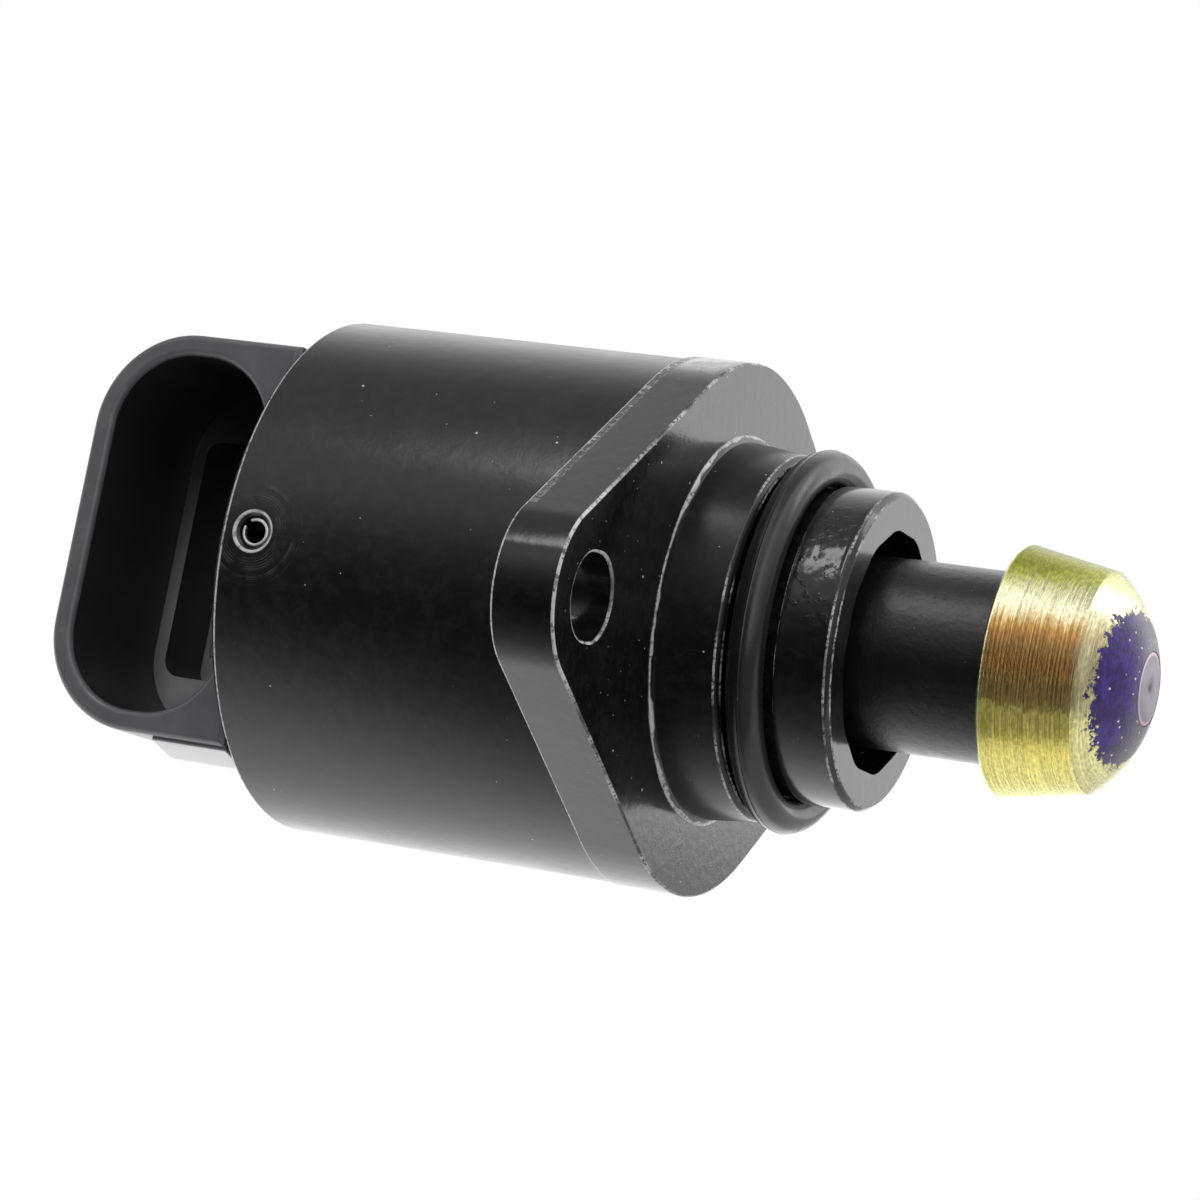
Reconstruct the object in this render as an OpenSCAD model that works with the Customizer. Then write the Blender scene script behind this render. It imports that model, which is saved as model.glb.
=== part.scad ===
// Idle air control valve: a stepper motor screws a pintle in and out of an air passage.
// Frame: +X runs along the valve from the connector to the pintle, the origin is the centre of
// the flange's mounting face, the bolt line runs along Y, and +Z is up.

/* [Housing] */
// Diameter of the motor barrel
body_d = 34.2; // [33.2:0.1:38]
// Length of the barrel behind the mounting face
body_len = 28.4; // [27:0.2:36]
// Wall of the barrel round the motor
wall = 2.35; // [2.1:0.05:2.6]
// Thickness of the metal between the mounting face and the motor
front_wall = 8.5; // [7.5:0.1:9.5]
// Thickness of the mounting flange
flange_t = 4.1; // [3:0.1:6]
// Distance between the two bolt slots
bolt_spacing = 45; // [43.5:0.5:50]
// Width of a bolt slot
slot_w = 5.3; // [4.3:0.1:5.6]
// Length of a bolt slot along the bolt line
slot_len = 6; // [5.7:0.1:6.4]
// Diameter of the flange's rounded ends
flange_end_d = 11; // [10:0.2:14]
// Diameter of the flange's middle
flange_mid_d = 34.6; // [34.4:0.1:36]
// Diameter of the spigot that centres the valve
spigot_d = 23.6; // [22.8:0.1:26]
// Length of the spigot
spigot_len = 4.3; // [3:0.1:5]
// Diameter of the floor of the seal groove
groove_d = 19.8; // [19.2:0.1:20.2]
// Diameter of the nose in front of the groove
nose_d = 20.4; // [20.2:0.1:21.6]
// Length of the nose from the mounting face
nose_len = 10.9; // [10:0.1:14]
// Width across the flats of the twelve-sided guide bore
guide_af = 15.3; // [14.6:0.1:15.8]
// Chamfer on the turned edges
edge = 0.35; // [0.2:0.05:0.5]
// Radius of the fillet at the foot of the spigot
foot_fillet = 0.45; // [0.2:0.05:0.8]
// Angle by which the guide bore's twelve sides are turned
guide_turn = 10.5; // [0:0.5:30]
// Width by which a roll pin's hole opens at its mouth
hole_flare = 1; // [0.6:0.1:1.2]

/* [Seals] */
// Thickness of the nose seal's round section
nose_seal_t = 2.4; // [2:0.1:2.8]
// Thickness of the cap seal's round section
cap_seal_t = 1.3; // [1:0.1:1.6]
// Room beside the nose seal in its groove
groove_room = 0.5; // [0.3:0.1:0.8]
// Room at each side of the cap seal
seal_room = 0.15; // [0.1:0.05:0.25]
// Distance from the cap seal's middle to the end of the cap's plug
seal_back = 1.4; // [1.3:0.05:1.6]

/* [Plunger] */
// Diameter of the plunger's sleeve
sleeve_d = 12.2; // [11:0.1:13]
// Length of the twelve-sided head that slides in the guide
head_len = 3.5; // [2.5:0.1:4.5]
// Diameter of the stem through the pintle
stem_d = 4.7; // [4.4:0.1:5.2]
// Outer diameter of the lead screw's thread
screw_d = 4; // [3.6:0.1:4.2]
// Diameter of the pintle's rear edge
pintle_d = 15.9; // [14.4:0.1:17]
// Length of the pintle
pintle_len = 8.6; // [8:0.1:10]
// Length of the pintle's taper
taper_len = 5.7; // [5:0.1:6.2]
// Diameter where the taper meets the dome
shoulder_d = 13.9; // [13:0.1:14.3]
// Gap between the nose and the pintle when the plunger is all the way in
pintle_gap = 2.1; // [1:0.1:4]

/* [Travel] */
// Travel from the drawn position to all the way in
travel_in = 6.5; // [4:0.1:7]
// Travel from the drawn position to all the way out
travel_out = 2; // [1:0.1:3]

/* [Stator] */
// Thickness of the formed steel plates
plate_t = 0.8; // [0.6:0.05:1]
// Gap between the magnet and the claws
air_gap = 0.35; // [0.25:0.05:0.5]
// Claws on each plate
claw_count = 6; // [4:1:8]
// Width of a claw at its root
claw_root_w = 2.7; // [2:0.1:3]
// Width of a claw at its tip
claw_tip_w = 1.2; // [0.8:0.1:1.6]
// Wall of a coil former's tube
former_wall = 0.75; // [0.6:0.05:1]
// Thickness of a coil former's flanges
former_flange = 0.6; // [0.5:0.05:0.9]
// Depth of the wire's surface below the rim of its former
wire_margin = 0.85; // [0.4:0.05:1.2]
// Wall of the moulded boss round the contact posts
boss_wall = 0.3; // [0.2:0.05:0.4]
// Gap between a claw's tip and the plate in front of it
tip_gap = 0.3; // [0.2:0.05:0.5]
// Gap between the cups and the barrel
cup_gap = 0.1; // [0.05:0.05:0.15]
// Gap between the coil formers and the cups
former_gap = 0.2; // [0.1:0.05:0.3]

/* [Rotor] */
// Diameter of the magnet
magnet_d = 13; // [12:0.1:14]
// Wall of the magnet ring
magnet_wall = 2.1; // [1.6:0.1:2.3]
// Diameter of the rear journal
journal_d = 6.8; // [6.6:0.1:7.2]
// Length of the rear journal
journal_len = 2.7; // [2:0.1:3.2]
// Length of the threaded nut
nut_len = 7.5; // [5:0.1:8]
// Diameter of the threaded nut
nut_d = 6.4; // [6:0.1:6.8]
// Thickness of the thrust washer
washer_t = 0.3; // [0.2:0.05:0.4]
// Thickness of the wave washer's steel
wave_t = 0.2; // [0.15:0.01:0.25]
// Height of the wave washer's waves above its middle
wave_lift = 0.22; // [0.15:0.01:0.25]
// Wall of the rear bush
bush_wall = 1.5; // [1.3:0.05:1.6]
// Distance from the stator's rear face to the magnet
magnet_back = 1.6; // [1.55:0.05:1.9]
// Distance from the magnet to the stator's front face
magnet_front = 1.3; // [1:0.1:1.6]
// How far the rotor's shaft stands out of the bearing
shaft_proud = 0.4; // [0.2:0.05:0.5]
// Width of the shoulder that the bearing's inner ring rests on
collar_w = 0.9; // [0.7:0.05:1]
// Height of the step that the magnet rests on
magnet_step = 1; // [0.8:0.1:1.2]
// Length of the step that the magnet rests on
step_len = 0.5; // [0.4:0.05:0.6]
// Length of the nut inside the bearing
nut_set = 1.5; // [1.2:0.1:1.8]
// Room round the plunger's stem inside the rotor
stem_room = 0.2; // [0.15:0.05:0.3]
// Room behind the plunger's head when the plunger is all the way in
head_room = 0.7; // [0.5:0.1:1]
// Chamfer at the end of the lead screw
screw_edge = 0.4; // [0.2:0.1:0.6]

/* [Bearing] */
// Bore of the ball bearing
bearing_bore = 8; // [7.8:0.1:8.2]
// Outside diameter of the ball bearing
bearing_d = 17; // [16.8:0.1:17.4]
// Width of the ball bearing
bearing_w = 3.5; // [3.2:0.1:4]
// Diameter of a ball
ball_d = 2.4; // [2:0.1:2.5]
// Number of balls
ball_count = 9; // [7:1:10]
// Depth of the ball tracks in the bearing's rings
track_depth = 0.3; // [0.2:0.05:0.4]
// Gap between the bearing's cage and its rings
cage_gap = 0.35; // [0.25:0.05:0.45]

/* [Connector cap] */
// Angle by which the connector is turned from the bolt line
cap_turn = 5; // [0:1:20]
// Length of the plug that enters the barrel
plug_len = 6.2; // [5.8:0.1:7]
// Distance from the valve's axis to the connector's mouth
mouth_out = 11.3; // [10:0.1:14]
// Height of the connector's shroud
shroud_h = 26.5; // [25.5:0.5:28]
// Depth of the connector's shroud behind the barrel
shroud_w = 14.05; // [13.6:0.05:16]
// Wall of the shroud
shroud_wall = 1.4; // [1.2:0.1:1.6]
// Radius of the shroud's outer corners
shroud_r = 6.6; // [5:0.1:6.9]
// Depth of the wide part of the socket
socket_depth = 11.6; // [10:0.1:13]
// Depth of the narrow part of the socket
well_depth = 5.2; // [4:0.1:6]
// Height of the narrow part of the socket
well_h = 16.4; // [15:0.1:18]
// Step from the wide socket to the narrow part at each side
well_step = 0.9; // [0.6:0.1:1.6]
// Length of the closed end behind the socket
heel_len = 5.8; // [5.4:0.1:7]
// Rise of the closed end above and below the narrow part's walls
heel_rise = 1.2; // [0.6:0.1:1.4]
// Radius of the closed end's corners
heel_r = 3; // [2:0.1:4]
// Height of the latch ramp under the shroud
latch_h = 1; // [0.6:0.1:1.6]
// Width of the latch ramp
latch_w = 5.4; // [4:0.1:7]
// Distance from the connector's mouth to the latch ramp
latch_in = 0.7; // [0.4:0.1:1.5]
// Length of the latch ramp's slope
latch_slope = 2.9; // [2:0.1:4]
// Length of the flat behind the slope
latch_flat = 1.2; // [0.8:0.1:2]
// Width of the key slot in the lower step
key_w = 2.2; // [1.6:0.1:2.6]
// Depth of the key slot
key_depth = 2.5; // [1.5:0.1:4]
// Radius of the narrow part's corners
well_corner = 1.2; // [0.8:0.1:1.6]
// Depth of the hollow for the screw's end, from the barrel's rim
hollow_back = 2; // [1.5:0.1:3]

/* [Terminals] */
// Number of terminals
pin_count = 4; // [4:1:4]
// Distance between terminals
pin_pitch = 4; // [3.8:0.1:4.2]
// Width of a terminal
pin_w = 1.5; // [1.2:0.1:1.8]
// Thickness of a terminal
pin_t = 0.8; // [0.6:0.05:1]
// Length of a terminal's free blade in the socket
pin_free = 7.2; // [5:0.1:9]
// Thickness of the square contact posts
post_t = 0.6; // [0.5:0.05:0.8]
// Length of the contact posts
post_len = 2; // [1.6:0.1:2.2]
// How far the terminals stop short of the motor
post_reach = 0.7; // [0.5:0.05:0.9]

/* [Roll pins] */
// Diameter of a roll pin
roll_d = 2; // [1.6:0.1:2.2]
// Length of a roll pin
roll_len = 6.5; // [5:0.1:7]
// Wall of a roll pin
roll_wall = 0.28; // [0.2:0.02:0.4]
// Distance from the barrel's rim to the roll pins
roll_from_rim = 2.35; // [2.2:0.05:2.5]
// Width of the slit in a roll pin
slit = 0.45; // [0.3:0.05:0.6]
// Angle of the slit from the valve's axis
slit_turn = 40; // [0:5:90]
// How far a roll pin is sunk in its hole
roll_sunk = 0.35; // [0.2:0.05:0.5]
// Chamfer at a roll pin's ends
roll_edge = 0.1; // [0.05:0.01:0.12]

/* [Fits] */
// Gap of a sliding or turning fit, on the radius
run_gap = 0.05; // [0.02:0.01:0.09]
// Gap between pieces that are assembled and stay put
seat_gap = 0.05; // [0.02:0.01:0.1]
// End gap between turning and fixed faces
end_gap = 0.15; // [0.1:0.01:0.25]

/* [Hidden] */
$fn = 96;
tiny = 0.01;
// How far a cutter reaches past the face that it cuts
over = 1;

// Stations along X
rim_x = -body_len;
motor_front_x = -front_wall;
motor_back_x = rim_x + plug_len;
motor_mid_x = (motor_front_x + motor_back_x) / 2;
bearing_front_x = motor_front_x + bearing_w;
guide_back_x = bearing_front_x;
roll_x = rim_x + roll_from_rim;
groove_len = nose_seal_t + groove_room;
hub_front_x = bearing_front_x + shaft_proud;
head_back_x = hub_front_x + travel_in + head_room;
pintle_x = nose_len + travel_in + pintle_gap;
tip_x = pintle_x + pintle_len;

// Radii
body_r = body_d / 2;
cavity_r = body_r - wall;
cup_r = cavity_r - cup_gap;
claw_in_r = magnet_d / 2 + air_gap;
claw_out_r = claw_in_r + plate_t;
former_in_r = claw_out_r + seat_gap;
coil_in_r = former_in_r + former_wall + seat_gap;
former_out_r = cup_r - plate_t - former_gap;
hub_r = magnet_d / 2 - magnet_wall - seat_gap;
well_r = journal_d / 2 + run_gap;
bush_r = well_r + bush_wall;

// A solid turned about the valve's axis, from [distance along X, radius] points
module turned(profile) {
    rotate([0, 90, 0])
        rotate_extrude()
            polygon([for (p = profile) [p[1], p[0]]]);
}

// A plain ring from x0 to x1
module ring(x0, x1, r_in, r_out) {
    turned([[x0, r_in], [x1, r_in], [x1, r_out], [x0, r_out]]);
}

// A rod along X from x0 to x1
module rod(x0, x1, r, sides = 96) {
    translate([x0, 0, 0])
        rotate([0, 90, 0])
            cylinder(h = x1 - x0, r = r, $fn = sides);
}

// An O-ring about the valve's axis, centred at x
module o_ring(x, r_mid, thick) {
    translate([x, 0, 0])
        rotate([0, 90, 0])
            rotate_extrude()
                translate([r_mid, 0])
                    circle(d = thick, $fn = 48);
}

// A twelve-sided rod along X, measured across its flats
module twelve_sided(x0, x1, across) {
    sides = 12;
    rotate([guide_turn, 0, 0])
        rod(x0, x1, across / 2 / cos(180 / sides), sides);
}

// Housing

// The flange's diamond outline: two round ends joined to a round middle by tangent lines
module flange_outline() {
    reach = bolt_spacing / 2;
    end_r = flange_end_d / 2;
    mid_r = flange_mid_d / 2;
    lean = asin((mid_r - end_r) / reach);
    circle(r = mid_r);
    for (side = [-1, 1]) {
        translate([side * reach, 0])
            circle(r = end_r);
        polygon([
            [side * mid_r * sin(lean), mid_r * cos(lean)],
            [side * (reach + end_r * sin(lean)), end_r * cos(lean)],
            [side * (reach + end_r * sin(lean)), -end_r * cos(lean)],
            [side * mid_r * sin(lean), -mid_r * cos(lean)]
        ]);
    }
}

module bolt_slot_outline() {
    shift = (slot_len - slot_w) / 2;
    for (side = [-1, 1])
        translate([side * bolt_spacing / 2, 0]) {
            for (end = [-1, 1])
                translate([end * shift, 0])
                    circle(d = slot_w);
            square([2 * shift, slot_w], center = true);
        }
}

// Lays an outline drawn on the Y and Z axes across the valve's axis
module across_axis(x0, thick) {
    translate([x0, 0, 0])
        rotate([90, 0, 90])
            linear_extrude(thick)
                children();
}

module housing_blank() {
    spigot_r = spigot_d / 2;
    nose_r = nose_d / 2;
    groove_r = groove_d / 2;
    foot_r = spigot_r + 2 * foot_fillet;
    fillet = [for (a = [0:15:90])
        [foot_fillet * (1 - sin(a)), spigot_r + foot_fillet * (1 - cos(a))]];
    turned(concat(
        [[rim_x, 0], [rim_x, body_r - edge], [rim_x + edge, body_r], [-flange_t / 2, body_r],
            [-flange_t / 2, foot_r], [0, foot_r]],
        [for (i = [len(fillet) - 1:-1:0]) fillet[i]],
        [[spigot_len - edge, spigot_r], [spigot_len, spigot_r - edge], [spigot_len, groove_r],
            [spigot_len + groove_len, groove_r], [spigot_len + groove_len, nose_r],
            [nose_len - edge, nose_r], [nose_len, nose_r - edge], [nose_len, 0]]
    ));
    across_axis(-flange_t, flange_t)
        flange_outline();
}

// The roll pins cross the barrel's wall on the connector's centre line
module roll_pin_holes(r) {
    rotate([-cap_turn, 0, 0])
        translate([roll_x, 0, 0])
            rotate([90, 0, 0])
                cylinder(h = 2 * body_d, r = r, center = true, $fn = 48);
}

module housing() {
    color("#1c1c1e")
        difference() {
            housing_blank();
            rod(rim_x - over, motor_front_x, cavity_r);
            turned([[rim_x - over, cavity_r], [rim_x - over, cavity_r + edge + over],
                [rim_x + edge, cavity_r]]);
            rod(motor_front_x - over, bearing_front_x, bearing_d / 2 + seat_gap);
            twelve_sided(guide_back_x - over, nose_len + over, guide_af);
            across_axis(-flange_t - over, flange_t + 2 * over)
                bolt_slot_outline();
            roll_pin_holes(roll_d / 2 + seat_gap / 2);
            for (side = [-1, 1])
                rotate([-cap_turn, 0, 0])
                    translate([roll_x, side * (body_r - edge), 0])
                        rotate([-side * 90, 0, 0])
                            cylinder(h = hole_flare, r1 = roll_d / 2, r2 = roll_d / 2 + hole_flare,
                                $fn = 48);
        }
}

module nose_seal() {
    color("#151515")
        o_ring(spigot_len + groove_len / 2, (groove_d + nose_seal_t) / 2 + seat_gap, nose_seal_t);
}

// Connector cap. It is drawn with its mouth towards -Y and then turned by cap_turn.

module turned_cap() {
    rotate([-cap_turn, 0, 0])
        children();
}

shroud_back_x = rim_x - shroud_w;
socket_w = shroud_w - 2 * shroud_wall;
socket_h = shroud_h - 2 * shroud_wall;
socket_x = rim_x - shroud_w / 2;
socket_r = shroud_r - shroud_wall;
key_z = -socket_h / 2 + well_step;
ledge_y = -mouth_out + socket_depth;
well_y = ledge_y + well_depth;
heel_y = well_y + heel_len;
boss_t = post_t + 2 * boss_wall;
leg_y = claw_out_r + seat_gap + boss_t / 2;
seal_groove_x = motor_back_x - seal_back;
seal_floor_r = cavity_r - cap_seal_t - seat_gap;

// Extrudes an outline drawn on X and Z from y0 to y1
module along_y(y0, y1) {
    translate([0, y1, 0])
        rotate([90, 0, 0])
            linear_extrude(y1 - y0)
                children();
}

// A rectangle about [cx, 0] with round corners on its far side, and on both if all is true
module round_rect(cx, w, h, r, all = true) {
    translate([cx, 0]) {
        for (sx = all ? [-1, 1] : [-1], sz = [-1, 1])
            translate([sx * (w / 2 - r), sz * (h / 2 - r)])
                circle(r = r, $fn = 64);
        square([w - 2 * r, h], center = true);
        square([w, h - 2 * r], center = true);
        if (!all)
            translate([0, -h / 2])
                square([w / 2, h]);
    }
}

// The closed end round the terminals' bends, with its outer corners rounded both ways
module heel() {
    heel_w = shroud_w - well_step;
    heel_h = well_h + 2 * (shroud_wall + heel_rise);
    intersection() {
        along_y(ledge_y, heel_y)
            round_rect(rim_x - heel_w / 2, heel_w, heel_h, heel_r, false);
        union() {
            translate([rim_x - heel_w, ledge_y, -heel_h])
                cube([heel_w, heel_y - ledge_y - heel_r, 2 * heel_h]);
            translate([rim_x - heel_w + heel_r, ledge_y, -heel_h])
                cube([heel_w - heel_r, heel_y - ledge_y, 2 * heel_h]);
            translate([rim_x - heel_w + heel_r, heel_y - heel_r, 0])
                cylinder(h = 2 * heel_h, r = heel_r, center = true, $fn = 64);
        }
    }
}

// The ramp that the plug's catch rides over and drops behind
module latch_ramp() {
    low_z = -shroud_h / 2;
    start_y = -mouth_out + latch_in;
    top_y = start_y + latch_slope;
    end_y = top_y + latch_flat;
    translate([rim_x - latch_w, 0, 0])
        rotate([90, 0, 90])
            linear_extrude(latch_w)
                polygon([[start_y, low_z + tiny], [start_y, low_z - latch_h / 4],
                    [top_y, low_z - latch_h], [end_y, low_z - latch_h], [end_y, low_z + tiny]]);
}

module cap_plug() {
    plug_r = cavity_r - seat_gap;
    half = cap_seal_t / 2 + seal_room;
    turned([[rim_x, 0], [rim_x, plug_r], [seal_groove_x - half, plug_r],
        [seal_groove_x - half, seal_floor_r], [seal_groove_x + half, seal_floor_r],
        [seal_groove_x + half, plug_r], [motor_back_x - edge, plug_r],
        [motor_back_x, plug_r - edge], [motor_back_x, 0]]);
}

// Height of terminal i above the connector's middle
function pin_z(i) = (i - (pin_count - 1) / 2) * pin_pitch;

// The terminal's L shape, grown by a gap where the cap is cut for it
module terminal_shape(i, grow = 0) {
    inner_x = motor_back_x - post_reach;
    translate([0, 0, pin_z(i) - pin_w / 2 - grow]) {
        translate([socket_x - pin_t / 2 - grow, well_y - pin_free, 0])
            cube([pin_t + 2 * grow, pin_free + leg_y - well_y + pin_t / 2 + grow, pin_w + 2 * grow]);
        translate([socket_x - pin_t / 2, leg_y - pin_t / 2 - grow, 0])
            cube([inner_x - socket_x + pin_t / 2, pin_t + 2 * grow, pin_w + 2 * grow]);
    }
}

module connector_cap() {
    color("#38383a")
        turned_cap()
            difference() {
                union() {
                    cap_plug();
                    along_y(-mouth_out, ledge_y + shroud_wall)
                        round_rect(socket_x, shroud_w, shroud_h, shroud_r, false);
                    heel();
                    latch_ramp();
                }
                along_y(-mouth_out - over, ledge_y)
                    round_rect(socket_x, socket_w, socket_h, socket_r);
                along_y(ledge_y - over, well_y)
                    round_rect(socket_x, socket_w - 2 * well_step, well_h, well_corner);
                // Key slot in the lower step
                along_y(ledge_y - over, ledge_y + key_depth)
                    translate([socket_x - key_w / 2, key_z])
                        square([key_w, -well_h / 2 + tiny - key_z]);
                for (i = [0:pin_count - 1])
                    terminal_shape(i, seat_gap / 2);
                for (i = [0:pin_count - 1])
                    translate([motor_back_x - post_reach - 2 * end_gap,
                        leg_y - pin_t / 2 - seat_gap / 2, pin_z(i) - pin_w / 2 - seat_gap / 2])
                        cube([post_reach + over, pin_t + seat_gap, pin_w + seat_gap]);
                // Seat of the bush, and room for the end of the screw
                rod(bush_back_x, motor_back_x + over, bush_r + seat_gap);
                rod(rim_x + hollow_back, motor_back_x, journal_d / 2 - 2 * hub_edge);
                for (side = [-1, 1])
                    translate([roll_x, side * (body_r - roll_len - roll_sunk), 0])
                        rotate([-side * 90, 0, 0])
                            cylinder(h = body_r, r = roll_d / 2 + seat_gap / 2, $fn = 48);
            }
}

module cap_seal() {
    color("#151515")
        o_ring(seal_groove_x, seal_floor_r + cap_seal_t / 2 + seat_gap / 2, cap_seal_t);
}

// Two split spring-steel tubes that lock the cap in the barrel
module roll_pins() {
    outer_r = roll_d / 2;
    color("#c8cacc")
        turned_cap()
            for (side = [-1, 1])
                translate([roll_x, side * (body_r - roll_sunk), 0])
                    rotate([side * 90, slit_turn, 0])
                        difference() {
                            rotate_extrude($fn = 48)
                                polygon([[outer_r - roll_wall, 0], [outer_r - roll_edge, 0],
                                    [outer_r, 2 * roll_edge], [outer_r, roll_len - 2 * roll_edge],
                                    [outer_r - roll_edge, roll_len], [outer_r - roll_wall, roll_len]]);
                            translate([-roll_d, -slit / 2, -over])
                                cube([roll_d, slit, roll_len + 2 * over]);
                        }
}

module terminal(i) {
    color("#d8c27a")
        turned_cap()
            terminal_shape(i);
}

module terminal_1() {
    terminal(0);
}

module terminal_2() {
    terminal(1);
}

module terminal_3() {
    terminal(2);
}

module terminal_4() {
    terminal(3);
}

// Pins on the rear coil former that meet the inner ends of the terminals
module contact_posts() {
    color("#d8c27a")
        turned_cap()
            for (i = [0:pin_count - 1])
                translate([motor_back_x - post_reach, leg_y - post_t / 2, pin_z(i) - post_t / 2])
                    cube([post_len, post_t, post_t]);
}

module rear_bush() {
    color("#b08d4c")
        ring(bush_back_x, motor_back_x - cup_gap, well_r, bush_r);
}

// Stator. Each half is a coil between an outer cup and an inner plate with meshing claws.

// One row of claws bent along X from x0, pointing forward if dir is 1
module claws(x0, dir, reach, turn) {
    intersection() {
        ring(x0 - reach - over, x0 + reach + over, claw_in_r, claw_out_r);
        for (i = [0:claw_count - 1])
            rotate([turn + i * 360 / claw_count, 0, 0])
                linear_extrude(claw_out_r + over)
                    polygon([[x0, -claw_root_w / 2], [x0, claw_root_w / 2],
                        [x0 + dir * reach, claw_tip_w / 2], [x0 + dir * reach, -claw_tip_w / 2]]);
    }
}

half_len = (motor_front_x - motor_back_x) / 2;
former_len = half_len - 2 * plate_t;
claw_reach = half_len - plate_t - tip_gap;
claw_step = 180 / claw_count;
boss_h = (pin_count - 1) * pin_pitch + boss_t;

// The window lets the coil former's terminal boss through the rear cup
module boss_block(grow, x0, x1) {
    turned_cap()
        translate([x0, leg_y - boss_t / 2 - grow, -boss_h / 2 - grow])
            cube([x1 - x0, boss_t + 2 * grow, boss_h + 2 * grow]);
}

module stator_cup(x0, dir, turn) {
    rim_end = x0 + dir * (half_len - seat_gap / 2);
    face_end = x0 + dir * plate_t;
    ring(min(x0, face_end), max(x0, face_end), claw_out_r - plate_t / 8, cup_r);
    ring(min(x0, rim_end), max(x0, rim_end), cup_r - plate_t, cup_r);
    claws(x0, dir, claw_reach, turn);
}

module rear_stator_cup() {
    color("#9a9c9e")
        difference() {
            stator_cup(motor_back_x, 1, 0);
            boss_block(2 * seat_gap, motor_back_x - over, motor_back_x + plate_t + 2 * seat_gap);
        }
}

module front_stator_cup() {
    color("#9a9c9e")
        stator_cup(motor_front_x, -1, claw_step / 2);
}

module pole_plate(x0, dir, turn) {
    face_end = x0 + dir * plate_t;
    ring(min(x0, face_end), max(x0, face_end), claw_out_r - plate_t / 8, cup_r - plate_t - seat_gap);
    claws(x0, dir, claw_reach, turn);
}

module rear_pole_plate() {
    color("#9a9c9e")
        pole_plate(motor_mid_x, -1, claw_step);
}

module front_pole_plate() {
    color("#9a9c9e")
        pole_plate(motor_mid_x, 1, claw_step * 1.5);
}

module coil_former(x0) {
    x1 = x0 + former_len;
    turned([[x0, former_in_r], [x1, former_in_r], [x1, former_out_r],
        [x1 - former_flange, former_out_r], [x1 - former_flange, former_in_r + former_wall],
        [x0 + former_flange, former_in_r + former_wall], [x0 + former_flange, former_out_r],
        [x0, former_out_r]]);
}

module rear_coil_former() {
    x0 = motor_back_x + plate_t;
    color("#5c2f26")
        difference() {
            union() {
                coil_former(x0);
                intersection() {
                    boss_block(0, motor_back_x + tiny, x0 + former_flange / 2);
                    rod(motor_back_x, motor_mid_x, former_out_r);
                }
            }
            turned_cap()
                for (i = [0:pin_count - 1])
                    translate([motor_back_x - over, leg_y - post_t / 2, pin_z(i) - post_t / 2])
                        cube([over + post_len - post_reach, post_t, post_t]);
        }
}

module front_coil_former() {
    color("#5c2f26")
        coil_former(motor_mid_x + plate_t);
}

module coil(x0) {
    color("#b5612c")
        ring(x0 + former_flange + seat_gap, x0 + former_len - former_flange - seat_gap,
            coil_in_r, former_out_r - wire_margin);
}

module rear_coil() {
    coil(motor_back_x + plate_t);
}

module front_coil() {
    coil(motor_mid_x + plate_t);
}

// Ball bearing

ball_pitch_r = (bearing_bore + bearing_d) / 4;
ball_x = motor_front_x + bearing_w / 2;
track_r = ball_d / 2 + run_gap;
land = track_r - track_depth;

module raceway() {
    o_ring(ball_x, ball_pitch_r, 2 * track_r);
}

module bearing_outer_race() {
    color("#c9cbcd")
        difference() {
            ring(motor_front_x, bearing_front_x, ball_pitch_r + land, bearing_d / 2);
            raceway();
        }
}

module bearing_inner_race() {
    color("#c9cbcd")
        difference() {
            ring(motor_front_x, bearing_front_x, bearing_bore / 2, ball_pitch_r - land);
            raceway();
        }
}

module bearing_balls() {
    color("#d9dbdd")
        for (i = [0:ball_count - 1])
            rotate([i * 360 / ball_count, 0, 0])
                translate([ball_x, 0, ball_pitch_r])
                    sphere(d = ball_d, $fn = 48);
}

// A snap-in cage whose pockets hold the balls from behind
module bearing_cage() {
    half = land - cage_gap;
    color("#7a5a32")
        difference() {
            ring(motor_front_x + end_gap, ball_x + cage_gap, ball_pitch_r - half, ball_pitch_r + half);
            for (i = [0:ball_count - 1])
                rotate([i * 360 / ball_count, 0, 0])
                    translate([ball_x, 0, ball_pitch_r])
                        sphere(r = track_r + run_gap, $fn = 48);
        }
}

// Rotor

hub_edge = 0.2;
bush_back_x = motor_back_x - journal_len - hub_edge;
collar_r = bearing_bore / 2 + collar_w;
magnet_back_x = motor_back_x + magnet_back;
magnet_front_x = motor_front_x - magnet_front;
nut_front_x = motor_front_x + nut_set;
nut_back_x = nut_front_x - nut_len;
step_x = magnet_back_x - step_len;

module rotor_magnet() {
    color("#3a3d42")
        ring(magnet_back_x, magnet_front_x, magnet_d / 2 - magnet_wall, magnet_d / 2);
}

// The moulded hub carries the magnet, the nut, the bearing and the rear journal
module rotor_hub() {
    hub_back_x = motor_back_x - journal_len;
    journal_r = journal_d / 2;
    screw_room_r = stem_d / 2 + stem_room;
    shaft_r = bearing_bore / 2 - seat_gap / 2;
    color("#cfc9b8")
        difference() {
            turned([[hub_back_x, 0], [hub_back_x, journal_r - hub_edge],
                [hub_back_x + hub_edge, journal_r],
                [step_x, journal_r], [step_x, hub_r + magnet_step],
                [magnet_back_x, hub_r + magnet_step], [magnet_back_x, hub_r], [magnet_front_x, hub_r],
                [magnet_front_x, collar_r], [motor_front_x, collar_r], [motor_front_x, shaft_r],
                [hub_front_x, shaft_r], [hub_front_x, 0]]);
            rod(hub_back_x - over, hub_front_x + over, screw_room_r);
            rod(nut_back_x, hub_front_x + over, nut_d / 2 + seat_gap / 2);
        }
}

module rotor_nut() {
    color("#b8934a")
        ring(nut_back_x, nut_front_x, screw_d / 2 + run_gap, nut_d / 2);
}

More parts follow.
